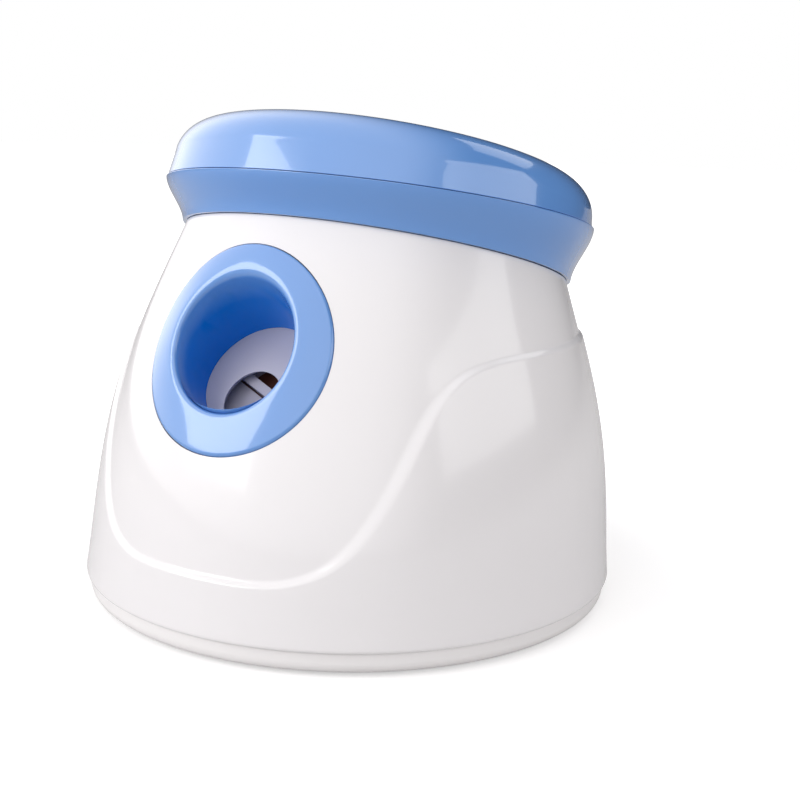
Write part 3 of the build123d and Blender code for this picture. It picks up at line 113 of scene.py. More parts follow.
# %% Surround
BRIGHT_SIDE = Vector((-0.55, -0.78, 0.30)).normalized()
AMBIENT, AMBIENT_REACH = (0.38, 0.48), 1.0
SHINE, SHINE_REACH = (0.05, 1.9), 0.35
SURROUND_TINT = (1, 0.985, 0.99, 1)


def node_adder(owner):
    """Empties a node tree and returns a function that adds a node to it. Its sockets are given as
    values or as the outputs that feed them, its own settings by name."""
    owner.use_nodes = True
    tree = owner.node_tree
    tree.nodes.clear()

    def add(kind, sockets=None, **settings):
        node = tree.nodes.new("ShaderNode" + kind)
        for setting, value in settings.items():
            setattr(node, setting, value)
        for socket, value in (sockets or {}).items():
            if isinstance(value, bpy.types.NodeSocket):
                tree.links.new(value, node.inputs[socket])
            else:
                node.inputs[socket].default_value = value
        return node
    return add


def ranged(add, value, low, high, start=0.0, end=1.0, curve="LINEAR"):
    """Output that runs from low to high while the value runs from start to end."""
    sockets = {"Value": value, "From Min": start, "From Max": end, "To Min": low, "To Max": high}
    return add("MapRange", sockets, interpolation_type=curve).outputs["Result"]


def surround_world():
    """World that is white for the camera and fades away from its bright side for the launcher."""
    world = bpy.data.worlds.new("surround")
    add = node_adder(world)
    path, place = add("LightPath"), add("TexCoord")
    side = add("VectorMath", {0: place.outputs["Generated"], 1: BRIGHT_SIDE}, operation="DOT_PRODUCT")
    toward = side.outputs["Value"]
    ambient = ranged(add, toward, *AMBIENT, -AMBIENT_REACH, AMBIENT_REACH, "SMOOTHSTEP")
    shine = ranged(add, toward, *SHINE, -SHINE_REACH, SHINE_REACH, "SMOOTHSTEP")
    mirrored = add("Math", {0: path.outputs["Is Glossy Ray"], 1: path.outputs["Is Transmission Ray"]},
                   operation="MAXIMUM")
    strength = add("Mix", {"Factor": mirrored.outputs[0], "A": ambient, "B": shine})
    soft = add("Background", {"Color": SURROUND_TINT, "Strength": strength.outputs["Result"]})
    white = add("Background", {"Color": (1, 1, 1, 1)})
    seen = add("MixShader", {0: path.outputs["Is Camera Ray"], 1: soft.outputs[0], 2: white.outputs[0]})
    add("OutputWorld", {"Surface": seen.outputs[0]})
    return world


bpy.context.scene.world = surround_world()
bpy.context.scene.view_settings.view_transform = "Standard"
print("surround: soft light", AMBIENT, "reflections", SHINE)

# %% [markdown]
# ## Lamps
# Three large soft boxes give the pale rectangles that make the gloss readable: one in front, one
# on the +X side and a weak one behind. A soft box strong enough to light the white body would burn
# out where the plastic mirrors it, so the rest of the light comes from three fills that the gloss
# doesn't show.

# %% Lamps
LAMP_DISTANCE, MIDDLE = 1.5, Vector((0, 0, 0.11))
# name: (azimuth and elevation in degrees, width and height in metres, watts, shown in the gloss)
LAMPS = {
    "key_box": (-30, 20, (0.90, 0.80), 7.5, True),
    "side_box": (95, 20, (1.40, 0.66), 5.4, True),
    "back_box": (150, 46, (0.80, 0.60), 2.0, True),
    "front_fill": (20, 25, (0.90, 0.90), 2.7, False),
    "left_fill": (-50, 25, (0.90, 0.90), 4.6, False),
    "top_fill": (20, 70, (0.90, 0.90), 2.4, False),
}


def aimed(point, direction):
    """Matrix of a place whose z axis runs along a direction."""
    turn = Vector(direction).to_track_quat("Z", "Y").to_matrix().to_4x4()
    return Matrix.Translation(Vector(point)) @ turn


def soft_box(name, azimuth, elevation, size, power, shown):
    """Rectangular lamp aimed at the launcher's middle; azimuth 0 is in front of the muzzle."""
    data = bpy.data.lights.new(name, "AREA")
    data.shape = "RECTANGLE"
    data.size, data.size_y = size
    data.energy = power
    around, up = radians(azimuth), radians(elevation)
    away = Vector((cos(up) * sin(around), -cos(up) * cos(around), sin(up)))
    lamp = put(name, data)
    lamp.matrix_world = aimed(MIDDLE + away * LAMP_DISTANCE, away)
    lamp.visible_glossy = shown


for lamp_name, lamp_values in LAMPS.items():
    soft_box(lamp_name, *lamp_values)
print("lamps", ", ".join(LAMPS))

# %% [markdown]
# ## Floor
# A matt pale sheet. A plain one would render light grey, and more light would bleach the launcher
# too. So the floor glows for the camera alone: a little under the launcher, where its contact
# shadow has to show, and up to full white further out.

# %% Floor
SHADOW_REACH, GLOW_REACH, SHADOW_GLOW = 0.13, 0.34, 0.47
FLOOR_WHITE, FLOOR_REACH = (0.71, 0.70, 0.70, 1), 6.0


def floor_material():
    material = bpy.data.materials.new("floor")
    add = node_adder(material)
    path = add("LightPath")
    distance = add("VectorMath", {0: add("TexCoord").outputs["Object"]}, operation="LENGTH")
    fade = ranged(add, distance.outputs["Value"], SHADOW_GLOW, 1.0, SHADOW_REACH, GLOW_REACH, "SMOOTHSTEP")
    seen = add("Math", {0: fade, 1: path.outputs["Is Camera Ray"]}, operation="MULTIPLY")
    matt = add("BsdfDiffuse", {"Color": FLOOR_WHITE})
    glow = add("Emission", {"Strength": seen.outputs[0]})
    both = add("AddShader", {0: matt.outputs[0], 1: glow.outputs[0]})
    add("OutputMaterial", {"Surface": both.outputs[0]})
    return material


def mesh_of(bm, name):
    """Mesh made from a bmesh, which is then freed."""
    mesh = bpy.data.meshes.new(name)
    bm.to_mesh(mesh)
    bm.free()
    return mesh


floor_bm = bmesh.new()
bmesh.ops.create_grid(floor_bm, x_segments=1, y_segments=1, size=FLOOR_REACH)
floor = put("floor", mesh_of(floor_bm, "floor"))
floor.data.materials.append(floor_material())
print("floor", 2 * FLOOR_REACH, "m wide")

# %% [markdown]
# ## Moulded plastic
# Moulded plastic is never one flat colour. It could be painted with image textures, but those
# need a UV map on every part. Noise on Object coordinates needs none and has the same scale on
# all parts. Four things are added: a slow drift of colour and roughness, as from uneven cooling,
# a faint orange-peel ripple, a fine grain on the matt grades and a clear coat on the glossy ones.

# %% Patterns in plastic
DRIFT_SCALE, DRIFT_DETAIL = 14.0, 2.0
RIPPLE, RIPPLE_SIZE, RIPPLE_DEPTH = 0.02, 2.2, 0.2 * MM
GRAIN_DEPTH = 0.1 * MM
PER_METRE = 1000.0


def noise(add, coordinates, scale, detail):
    return add("TexNoise", {"Vector": coordinates, "Scale": scale, "Detail": detail}).outputs["Fac"]


def mixed(add, factor, first, second):
    """Colour between two colours."""
    return add("Mix", {"Factor": factor, "A": first, "B": second}, data_type="RGBA").outputs["Result"]


def drifting(add, slow, colour, drift):
    """The colour, a share darker where the slow noise is low and a share lighter where it is high."""
    low = [c * (1 - drift) for c in colour]
    high = [min(1.0, c * (1 + drift)) for c in colour]
    return mixed(add, slow, (*low, 1), (*high, 1))


def bumped(add, height, strength, depth, under=None):
    """Normal bent by a pattern, on top of the normal under it."""
    sockets = {"Height": height, "Strength": strength, "Distance": depth}
    if under:
        sockets["Normal"] = under
    return add("Bump", sockets).outputs["Normal"]


print("ripple", RIPPLE_SIZE, "mm wide")

# %% [markdown]
# ## One recipe for every plastic
# The blue bezel and its bore are one moulding, but a bore lies in its own shade and mirrors its
# own walls, so it looks a deeper, duller blue than the ring round it. That shade is painted into
# the colour. It could be a second material with a border; here the mesh carries an attribute,
# "depth", that grows down the bore, and the painted shade and the shine follow it, so that no
# border shows.

# %% Plastic
ROUGH_SPREAD, COAT_ROUGHNESS, SCATTER_REACH = 0.15, 0.04, 0.004
SPECULAR, BORE_SHINE = 0.5, 0.25


def plastic(name, colour, roughness, grain=0.0, grain_size=0.35, coat=0.0, drift=0.03, scatter=0.0,
            bore_shade=None):
    """Moulded plastic. Grain is a bump strength and grain_size is in millimetres. A colour of painted
    shade takes over, and the shine falls, where the mesh's attribute "depth" is 1."""
    material = bpy.data.materials.new(name)
    add = node_adder(material)
    place = add("TexCoord").outputs["Object"]
    slow = noise(add, place, DRIFT_SCALE, DRIFT_DETAIL)
    normal = bumped(add, noise(add, place, PER_METRE / RIPPLE_SIZE, 1.0), RIPPLE, RIPPLE_DEPTH)
    if grain:
        normal = bumped(add, noise(add, place, PER_METRE / grain_size, 3.0), grain, GRAIN_DEPTH, normal)
    shader = add("BsdfPrincipled", {
        "Roughness": ranged(add, slow, roughness * (1 - ROUGH_SPREAD), roughness * (1 + ROUGH_SPREAD)),
        "Normal": normal,
        "Coat Weight": coat,
        "Coat Roughness": COAT_ROUGHNESS,
        "Subsurface Weight": scatter,
        "Subsurface Radius": (SCATTER_REACH,) * 3,
    })
    colour_out = drifting(add, slow, colour, drift)
    if bore_shade:
        # painted shade: down the bore the colour is mixed towards a darker blue, for the shade that falls
        # there
        depth = add("Attribute", attribute_name="depth").outputs["Fac"]
        colour_out = mixed(add, depth, colour_out, (*bore_shade, 1))
        links = material.node_tree.links
        links.new(ranged(add, depth, SPECULAR, SPECULAR * BORE_SHINE), shader.inputs["Specular IOR Level"])
        links.new(ranged(add, depth, coat, coat * BORE_SHINE), shader.inputs["Coat Weight"])
    material.node_tree.links.new(colour_out, shader.inputs["Base Color"])
    add("OutputMaterial", {"Surface": shader.outputs[0]})
    return material


# the second blue is painted shade: the darker colour that the bore's own shade gives it
BLUE, BORE_SHADE_BLUE = (0.120, 0.290, 0.660), (0.0, 0.165, 0.62)
blue_gloss = plastic("blue_gloss", BLUE, 0.16, coat=1.0)
# the bezel's blue, with painted shade down its bore
blue_bore_painted_shade = plastic("blue_bore_painted_shade", BLUE, 0.16, coat=1.0, bore_shade=BORE_SHADE_BLUE)
white_gloss = plastic("white_gloss", (0.82, 0.80, 0.81), 0.17, coat=0.30, drift=0.008)
base_satin = plastic("base_satin", (0.86, 0.84, 0.84), 0.32, grain=0.05, coat=0.2, drift=0.01)
lilac_satin = plastic("lilac_satin", (0.45, 0.435, 0.51), 0.30, grain=0.06)
grey_satin = plastic("grey_satin", (0.26, 0.255, 0.31), 0.38, grain=0.10)
dark_satin = plastic("dark_satin", (0.03, 0.03, 0.035), 0.45, grain=0.15)
acetal = plastic("acetal", (0.78, 0.76, 0.68), 0.35, grain=0.05, scatter=0.1)
button_blue = plastic("button_blue", (0.12, 0.30, 0.74), 0.24, coat=0.3)
cell_sleeve = plastic("cell_sleeve", (0.03, 0.09, 0.06), 0.22, coat=0.4)
board_mask = plastic("board_mask", (0.02, 0.16, 0.06), 0.32, grain=0.1)
rubber = plastic("rubber", (0.02, 0.02, 0.02), 0.8, grain=0.35)
fibre = plastic("fibre", (0.085, 0.020, 0.012), 0.6, grain=0.25, grain_size=0.5, drift=0.12)
print("blue", BLUE, "and down the bore", BORE_SHADE_BLUE)

# %% [markdown]
# ## Metal
# The screws, shafts, spring, contacts and motor can are drawn or rolled, which leaves fine marks
# along one direction. Anisotropy would smear the highlight with no mesh detail at all, but it
# needs tangents on every part. A noise that is squeezed along one axis gives marks in both the
# roughness and the bump.

# %% Metal
MARK_SCALE, MARK_DETAIL, MARK_SPREAD = 6.0, 4.0, 0.3
MARK_BUMP, MARK_DEPTH = 0.05, 0.05 * MM


def metal(name, colour, roughness, marks=(40.0, 40.0, 900.0)):
    """Drawn or rolled metal; marks says how finely its marks lie along X, Y and Z."""
    material = bpy.data.materials.new(name)
    add = node_adder(material)
    turned = add("Mapping", {"Vector": add("TexCoord").outputs["Object"], "Scale": marks})
    streaks = noise(add, turned.outputs["Vector"], MARK_SCALE, MARK_DETAIL)
    shader = add("BsdfPrincipled", {
        "Base Color": (*colour, 1),
        "Metallic": 1.0,
        "Roughness": ranged(add, streaks, roughness * (1 - MARK_SPREAD), roughness * (1 + MARK_SPREAD)),
        "Normal": bumped(add, streaks, MARK_BUMP, MARK_DEPTH),
    })
    add("OutputMaterial", {"Surface": shader.outputs[0]})
    return material


zinc = metal("zinc", (0.62, 0.62, 0.64), 0.32)
spring_steel = metal("spring_steel", (0.45, 0.45, 0.47), 0.28)
nickel = metal("nickel", (0.70, 0.67, 0.60), 0.25)
motor_steel = metal("motor_steel", (0.58, 0.58, 0.60), 0.35, marks=(900.0, 40.0, 40.0))
print("metals", zinc.name, spring_steel.name, nickel.name, motor_steel.name)

# %% [markdown]
# ## Lenses
# Three small caps of clear plastic cover the distance lamps. Glass would be too clean for a
# moulded lens, so a little plastic colour stays under the transmission, clouded by a fine noise.

# %% Lenses
CLOUD_SCALE, CLOUD_SHADE, LENS_CLEARNESS, LENS_ROUGHNESS = 900.0, 0.85, 0.6, 0.08


def clear_lens(name, colour):
    material = bpy.data.materials.new(name)
    add = node_adder(material)
    place = add("TexCoord").outputs["Object"]
    cloud = add("TexNoise", {"Vector": place, "Scale": CLOUD_SCALE}).outputs["Fac"]
    darker = [c * CLOUD_SHADE for c in colour]
    shader = add("BsdfPrincipled", {
        "Base Color": mixed(add, cloud, (*colour, 1), (*darker, 1)),
        "Transmission Weight": LENS_CLEARNESS,
        "Roughness": LENS_ROUGHNESS,
    })
    add("OutputMaterial", {"Surface": shader.outputs[0]})
    return material


lens_clear = clear_lens("lens_clear", (0.75, 0.95, 0.75))
print("lens", lens_clear.name)

# %% [markdown]
# ## Finishes on the CAD parts
# The record says which material slot each part has. A part whose shape is already right keeps its
# CAD mesh and only gets the finish of its slot. Its shading is smooth, with the edges kept sharp
# by their angle, because the CAD mesh is made of flat triangles.

# %% Materials of the CAD parts
CAD_SHARP = radians(28)
FINISHES = {
    "blue_plastic": blue_gloss,
    "white_plastic": white_gloss,
    "grey_plastic": grey_satin,
    "dark_plastic": dark_satin,
    "base_white": base_satin,
    "gear_plastic": acetal,
    "plunger_plastic": lilac_satin,
    "button_plastic": button_blue,
    "jack_plastic": dark_satin,
    "lens_plastic": lens_clear,
    "rubber": rubber,
    "fibre": fibre,
    "board": board_mask,
    "cell_wrap": cell_sleeve,
    "steel": zinc,
    "spring_steel": spring_steel,
    "motor_can": motor_steel,
    "contact_metal": nickel,
}
for part in frame["record"]["subparts"]:
    node = nodes[part["node"]]
    node.data.materials.clear()
    node.data.materials.append(FINISHES[part["material_slot"]])
    node.data.shade_smooth()
    node.data.set_sharp_from_angle(angle=CAD_SHARP)
print("finishes on", len(nodes), "parts")

# %% [markdown]
# ## A sheet of rings
# Every large moulding on this launcher is a stack of circles that lean and shift a little from one
# to the next. They could be lofted as surfaces, or drawn as one quarter and mirrored. Here a
# single upright line of vertices is spun into a plain unit tube, and each vertex is then moved to
# its ring: the spin gives clean quads with no poles, and the move keeps the sizes in one place.

# %% Sheet of rings
def spun_sheet(name, rows, steps):
    """Unit tube of open rings; the height of a vertex is the number of its ring."""
    bm = bmesh.new()
    line = [bm.verts.new((1, 0, row)) for row in range(rows)]
    edges = [bm.edges.new(pair) for pair in zip(line, line[1:])]
    bmesh.ops.spin(bm, geom=line + edges, cent=(0, 0, 0), axis=(0, 0, 1), angle=2 * math.pi, steps=steps,
                   use_merge=True)
    return mesh_of(bm, name)


def places_of(mesh):
    """Coordinates of the vertices, one row each."""
    flat = np.empty(len(mesh.vertices) * 3)
    mesh.vertices.foreach_get("co", flat)
    return flat.reshape(-1, 3)


def rings_of(mesh):
    """Angle (0 at the front, growing towards +X) and ring number of every vertex."""
    x, y, z = places_of(mesh).T
    return np.arctan2(x, -y), np.rint(z).astype(int)


def place_vertices(mesh, places):
    """Moves the vertices to places given in millimetres."""
    mesh.vertices.foreach_set("co", (places * MM).ravel())
    mesh.update()


def leaning_circle(angle, radius, height, centre, tilt):
    """Points of a circle in a plane that leans back by tilt degrees, height above that plane. The
    centre is given as (y, z)."""
    lean = np.radians(tilt)
    back = -radius * np.cos(angle)
    y = centre[0] + back * np.cos(lean) + height * np.sin(lean)
    z = centre[1] - back * np.sin(lean) + height * np.cos(lean)
    return np.stack([radius * np.sin(angle), y, z], axis=-1)


print("front of a 100 mm circle that leans by 10 degrees", leaning_circle(0.0, 100, 0, (0, 0), 10).round(1))

# %% [markdown]
# ## Steps on a mesh
# What is done to a mesh after that could be a stack of modifiers, but most of it is a single
# operator with a plane or a tolerance. So it is a row of small steps, each a function of the
# bmesh, which run in one go.

# %% Steps on a mesh
def edit(mesh, *steps):
    """Runs bmesh steps on a mesh."""
    bm = bmesh.new()
    bm.from_mesh(mesh)
    for step in steps:
        step(bm)
    bm.to_mesh(mesh)
    bm.free()


def merge_doubles(bm):
    bmesh.ops.remove_doubles(bm, verts=bm.verts, dist=1e-6)


def turn_outwards(bm):
    bmesh.ops.recalc_face_normals(bm, faces=bm.faces)


def cap_holes(bm):
    bmesh.ops.holes_fill(bm, edges=[edge for edge in bm.edges if edge.is_boundary], sides=0)


def face_away_from(centre):
    """A step that turns the faces of an open sheet away from a point inside it."""
    def step(bm):
        away = sum((face.calc_center_median() - centre).dot(face.normal) for face in bm.faces)
        if away < 0:
            bmesh.ops.reverse_faces(bm, faces=bm.faces)
    return step


def cut_away(point, direction):
    """A step that removes what lies beyond a plane."""
    def step(bm):
        bmesh.ops.bisect_plane(bm, geom=bm.verts[:] + bm.edges[:] + bm.faces[:], dist=1e-7, plane_co=point,
                               plane_no=direction, clear_outer=True)
    return step


print("steps: merge_doubles, turn_outwards, cap_holes, face_away_from, cut_away")

# %% [markdown]
# ## Walls and pieces
# A moulding's wall comes from a Solidify modifier, which is applied at once, so that the solid can
# be pierced afterwards. A finished mesh then becomes a piece: it gets the finish of its material
# slot, rides on the CAD body that it belongs to and takes the place of its CAD part.

# %% Walls and pieces
def applied(holder, *helpers):
    """Mesh of an object with its modifiers applied. The object and its helpers are removed."""
    done = bpy.data.meshes.new_from_object(holder.evaluated_get(bpy.context.evaluated_depsgraph_get()))
    for extra in (holder, *helpers):
        bpy.data.objects.remove(extra)
    return done


def thicken(mesh, wall):
    """Gives a sheet its wall, inwards."""
    holder = put("holder", mesh)
    solid = holder.modifiers.new("wall", "SOLIDIFY")
    solid.thickness = wall * MM
    solid.offset = -1.0
    return applied(holder)


def make_piece(name, mesh, slot, node, body="housing", sharp=60, finish=None):
    """Object for a finished mesh that stands for a CAD node. Edges over sharp degrees stay sharp."""
    piece = put(name, mesh)
    mesh.materials.clear()
    mesh.materials.append(finish or FINISHES[slot])
    mesh.shade_smooth()
    mesh.set_sharp_from_angle(angle=radians(sharp))
    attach(piece, body)
    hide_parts(node)
    print(name, len(mesh.polygons), "faces")
    return piece


print("finishes to choose from:", ", ".join(FINISHES))

# %% [markdown]
# ## Body surface
# The body is a tapered drum whose rings lean back more and more towards the neck. A straight loft
# between two circles would look like a bucket. Five rings fix its curve, and a polynomial of the
# fourth order runs through them, so the taper has no flat spots that would show as bands in the
# reflections.

# %% Body surface
BASE_RADIUS, NECK_RADIUS = 123.2, 91.3
SHELL_BOTTOM, NECK_HEIGHT = 11.0, 154.2
SPAN = NECK_HEIGHT - SHELL_BOTTOM
NECK_SHIFT, NECK_TILT = 20.0, 14.9
# shares of the height, and the share of the whole change that is reached at each
SECTIONS = (0.0, 0.25, 0.5, 0.75, 1.0)
RADIUS_FALL = np.polyfit(SECTIONS, (0.0, 0.11, 0.275, 0.59, 1.0), 4)
CENTRE_SHIFT = np.polyfit(SECTIONS, (0.0, 0.17, 0.385, 0.67, 1.0), 4)


def body_points(fraction, angle, inset):
    """Points of the body at a fraction of its height, inset from its outer surface."""
    radius = BASE_RADIUS - np.polyval(RADIUS_FALL, fraction) * (BASE_RADIUS - NECK_RADIUS) - inset
    centre = np.polyval(CENTRE_SHIFT, fraction) * NECK_SHIFT, SHELL_BOTTOM + fraction * SPAN
    return leaning_circle(angle, radius, 0.0, centre, fraction * NECK_TILT)


print("front of the body at half height", body_points(0.5, 0.0, 0.0).round(1))

# %% [markdown]
# ## The step in the body
# A soft S-shaped step crosses the body: the panel round the muzzle lies 1.5 mm deeper than the
# band below it. It could be a crease drawn in the material, but then the outline and the
# reflections would run straight over it. It could be cut and filleted, which leaves long thin
# faces. The rings are bent instead: one ring of the sheet follows the step all the way round, and
# the rings next to it crowd together, so that there is enough mesh to model its rounding. The
# line is drawn as the body is seen from the front, and its height is found for each angle.

# %% Line of the step
# distance from the middle and height, in millimetres, seen from the front
STEP_POINTS = ((0, 35.5), (30, 35.6), (46, 38.7), (57, 45), (65.5, 55.5), (71.5, 68), (76, 82), (79.5, 98),
               (83, 110.5), (88.5, 118.5), (97, 122), (112, 122.6), (150, 122.6))
STEPS_PER_SPAN, STEPS_ROUND = 24, 480
SEARCHED = np.linspace(0.1, 0.95, 500)


def smooth_line(points):
    """Catmull-Rom curve through the points."""
    points = [points[0], *points, points[-1]]
    line = []
    for a, b, c, d in zip(points, points[1:], points[2:], points[3:]):
        a, b, c, d = (np.array(p, float) for p in (a, b, c, d))
        for t in np.linspace(0, 1, STEPS_PER_SPAN, endpoint=False):
            line.append(0.5 * (2 * b + (c - a) * t + (2 * a - 5 * b + 4 * c - d) * t ** 2
                               + (3 * b - a - 3 * c + d) * t ** 3))
    return np.array(line)


def step_fractions(angle):
    """How far up the body the step runs, for each angle."""
    line = smooth_line(STEP_POINTS)
    x, y, z = np.moveaxis(body_points(SEARCHED[:, None], angle[None, :], 0.0), -1, 0)
    height = np.where(y < 0, np.interp(np.abs(x), line[:, 0], line[:, 1]), line[-1, 1])
    return SEARCHED[np.argmax(z > height, axis=0)]


def softened(values, spread=2.0, reach=6):
    """Values round a ring, each blended with its neighbours."""
    weights = np.exp(-0.5 * (np.arange(-reach, reach + 1) / spread) ** 2)
    wrapped = np.concatenate([values[-reach:], values, values[:reach]])
    return np.convolve(wrapped, weights / weights.sum(), "valid")


crest_angles = np.linspace(-math.pi, math.pi, STEPS_ROUND, endpoint=False)
crest_fractions = softened(step_fractions(crest_angles))
print("step's lowest and highest place", crest_fractions.min().round(3), crest_fractions.max().round(3))

# %% [markdown]
# ## Body sheet
# Both shells are cut from one sheet, so that the surface runs straight through their seam. From
# the bottom up, its rings are eight for the rounded foot, then those up to the step, then those
# up to the neck. The step itself is a smooth ramp in the depth of the surface: narrow and crisp
# where its line runs level, wide and soft where the line climbs.

# %% Body sheet
EDGE_ROUND, CROWDING, BODY_INSIDE = 1.6, 2.3, Vector((0, 0, 0.08))
FOOT_ROWS, LOWER_ROWS, UPPER_ROWS = 8, 52, 66
STEP_DEPTH, STEP_SHARP_WIDTH, STEP_SOFT_WIDTH = 1.5, 2.6, 8.5
# the angle and the mean radius on which the slope of the step's line is measured
PROBE, PROBE_RADIUS = 0.01, 108


def crest_at(angle):
    return np.interp(angle, crest_angles, crest_fractions, period=2 * math.pi)


def crowd(share):
    """Crowds rings together near share = 0."""
    return (np.exp(CROWDING * share) - 1) / (math.exp(CROWDING) - 1)


def foot_turn(row):
    """How far round the foot's quarter circle a ring lies."""
    return np.clip(row / FOOT_ROWS, 0, 1) * math.pi / 2


def ring_fractions(row, crest):
    """Share of the body's height at which each vertex lies."""
    foot = EDGE_ROUND / SPAN
    lower = np.clip((row - FOOT_ROWS) / LOWER_ROWS, 0, 1)
    upper = np.clip((row - FOOT_ROWS - LOWER_ROWS) / UPPER_ROWS, 0, 1)
    below_step = crest - (crest - foot) * crowd(1 - lower)
    above_step = crest + (1 - crest) * crowd(upper)
    above_foot = np.where(row <= FOOT_ROWS + LOWER_ROWS, below_step, above_step)
    return np.where(row <= FOOT_ROWS, foot * (1 - np.cos(foot_turn(row))), above_foot)


def step_inset(fraction, angle, crest):
    """How far the step sets each vertex back; across the step it is a ramp with soft ends."""
    slope = (crest_at(angle + PROBE) - crest_at(angle - PROBE)) * SPAN / (2 * PROBE * PROBE_RADIUS)
    steep = slope ** 2 / (1 + slope ** 2)
    across = (fraction - crest) * SPAN / np.sqrt(1 + slope ** 2)
    width = STEP_SHARP_WIDTH + (STEP_SOFT_WIDTH - STEP_SHARP_WIDTH) * steep
    t = np.clip(across / width + 0.5, 0, 1)
    return STEP_DEPTH * t ** 3 * (t * (6 * t - 15) + 10)


def shape_body(mesh):
    angle, row = rings_of(mesh)
    crest = crest_at(angle)
    fraction = ring_fractions(row, crest)
    inset = step_inset(fraction, angle, crest) + EDGE_ROUND * (1 - np.sin(foot_turn(row)))
    place_vertices(mesh, body_points(fraction, angle, inset))


body_sheet = spun_sheet("body", FOOT_ROWS + LOWER_ROWS + UPPER_ROWS + 1, STEPS_ROUND)
shape_body(body_sheet)
edit(body_sheet, face_away_from(BODY_INSIDE))
print("body sheet", len(body_sheet.polygons), "faces")

# %% [markdown]
# ## Front shell
# A glossy white moulding, 2.5 mm thick, with the round hole that the bezel sits in. Faces could be
# deleted from the sheet to open it, but their edges would be ragged. A boolean with a round bar
# along the bezel's direction cuts a true hole through the finished wall.

# %% Front shell
WALL, SEAM_Y, SEAM_GAP = 2.5, 35.0, 0.3
BEZEL_RADIUS, BEZEL_ELEVATION = 44.2, radians(33.5)
BEZEL_AXIS = Vector((0, -cos(BEZEL_ELEVATION), sin(BEZEL_ELEVATION)))
BEZEL_POINT = Vector((0, -100, 130.4)) * MM
BAR_SIDES, MUZZLE_CUT = 160, 110.0


def pierce(mesh, cutters):
    """Cuts closed cutter meshes out of a closed mesh."""
    holder = put("holder", mesh)
    tools = [put("cutter", cutter) for cutter in cutters]
    for tool in tools:
        cut = holder.modifiers.new("cut", "BOOLEAN")
        cut.operation = "DIFFERENCE"
        cut.solver = "EXACT"
        cut.object = tool
    return applied(holder, *tools)


def bar_cutter(radius, length, matrix):
    """Round bar along the matrix's z axis."""
    bm = bmesh.new()
    bmesh.ops.create_cone(bm, cap_ends=True, segments=BAR_SIDES, radius1=radius * MM, radius2=radius * MM,
                          depth=length * MM, matrix=matrix)
    return mesh_of(bm, "cutter")


front_sheet = body_sheet.copy()
edit(front_sheet, cut_away((0, (SEAM_Y - SEAM_GAP / 2) * MM, 0), (0, 1, 0)))
muzzle_bar = bar_cutter(BEZEL_RADIUS + SEAM_GAP, MUZZLE_CUT, aimed(BEZEL_POINT, BEZEL_AXIS))
front_mesh = pierce(thicken(front_sheet, WALL), [muzzle_bar])
make_piece("front_shell_skin", front_mesh, "white_plastic", "front_shell", sharp=40)

# %% [markdown]
# ## Rear shell
# The other half of the body, from the seam back. It holds the control panel in a window with
# rounded corners and the power inlet in a small round hole. Both could be modelled into the sheet,
# but its rings run slantwise past them. They are cut like the muzzle hole, the window square to the
# shell and the hole straight from behind, and leave the same gap as the seam.

# %% Rear shell
PANEL_SIZE, PANEL_ROUND, PANEL_LEAN = (44.0, 26.0), 5.0, radians(8.9745)
PANEL_CENTRE = Vector((0, 119.41, 78.0)) * MM
JACK_CENTRE, JACK_RADIUS = Vector((0, 120, 37.0)) * MM, 5.5
CORNER_STEPS, PANEL_CUT, JACK_CUT = 10, 30.0, 40.0


def slab_cutter(size, round_by, matrix):
    """Block whose edges along its z axis are rounded."""
    bm = bmesh.new()
    bmesh.ops.create_cube(bm, size=1.0)
    bmesh.ops.scale(bm, vec=Vector(size) * MM, verts=bm.verts)
    upright = [edge for edge in bm.edges if abs(edge.verts[0].co.z - edge.verts[1].co.z) > 1e-6]
    bmesh.ops.bevel(bm, geom=upright, offset=round_by * MM, segments=CORNER_STEPS, profile=0.5,
                    affect="EDGES", material=-1)
    bmesh.ops.transform(bm, matrix=matrix, verts=bm.verts)
    return mesh_of(bm, "cutter")


def panel_frame():
    """Frame of the control panel, seen from behind: y up along the shell, z out of it."""
    out = Vector((0, cos(PANEL_LEAN), sin(PANEL_LEAN)))
    up = Vector((0, -sin(PANEL_LEAN), cos(PANEL_LEAN)))
    return Matrix.Translation(PANEL_CENTRE) @ Matrix((up.cross(out), up, out)).transposed().to_4x4()


rear_sheet = body_sheet.copy()
edit(rear_sheet, cut_away((0, (SEAM_Y + SEAM_GAP / 2) * MM, 0), (0, -1, 0)))
window_size = [side + 2 * SEAM_GAP for side in PANEL_SIZE]
panel_window = slab_cutter((*window_size, PANEL_CUT), PANEL_ROUND + SEAM_GAP, panel_frame())
jack_bar = bar_cutter(JACK_RADIUS + SEAM_GAP, JACK_CUT, aimed(JACK_CENTRE, (0, 1, 0)))
rear_mesh = pierce(thicken(rear_sheet, WALL), [panel_window, jack_bar])
make_piece("rear_shell_skin", rear_mesh, "white_plastic", "rear_shell", sharp=40)

# %% [markdown]
# ## Closed rings with rounded corners
# The collar, the rim, the funnel and the bezel are all rings with a wall. Each is given by the
# corners of its section, once for every angle round the ring, so that a section may lean or shift
# on its way round. Corners are then rounded by a set amount, as a mould leaves them: a Bevel
# modifier would do that too, but not with a different size at each corner.

# %% Closed ring helpers
EDGE = 0.3


def rounded_loop(corners, cuts):
    """Rows of a closed section; corners is a list of (points, size of the rounding)."""
    rows = []
    before_and_after = zip(corners[-1:] + corners[:-1], corners, corners[1:] + corners[:1])
    for (before, _), (here, size), (after, _) in before_and_after:
        if not size:
            rows.append(here)
            continue
        start = here + (before - here) / np.linalg.norm(before - here, axis=-1, keepdims=True) * size
        end = here + (after - here) / np.linalg.norm(after - here, axis=-1, keepdims=True) * size
        for t in np.linspace(0, 1, cuts):
            rows.append((1 - t) ** 2 * start + 2 * t * (1 - t) * here + t ** 2 * end)
    return rows


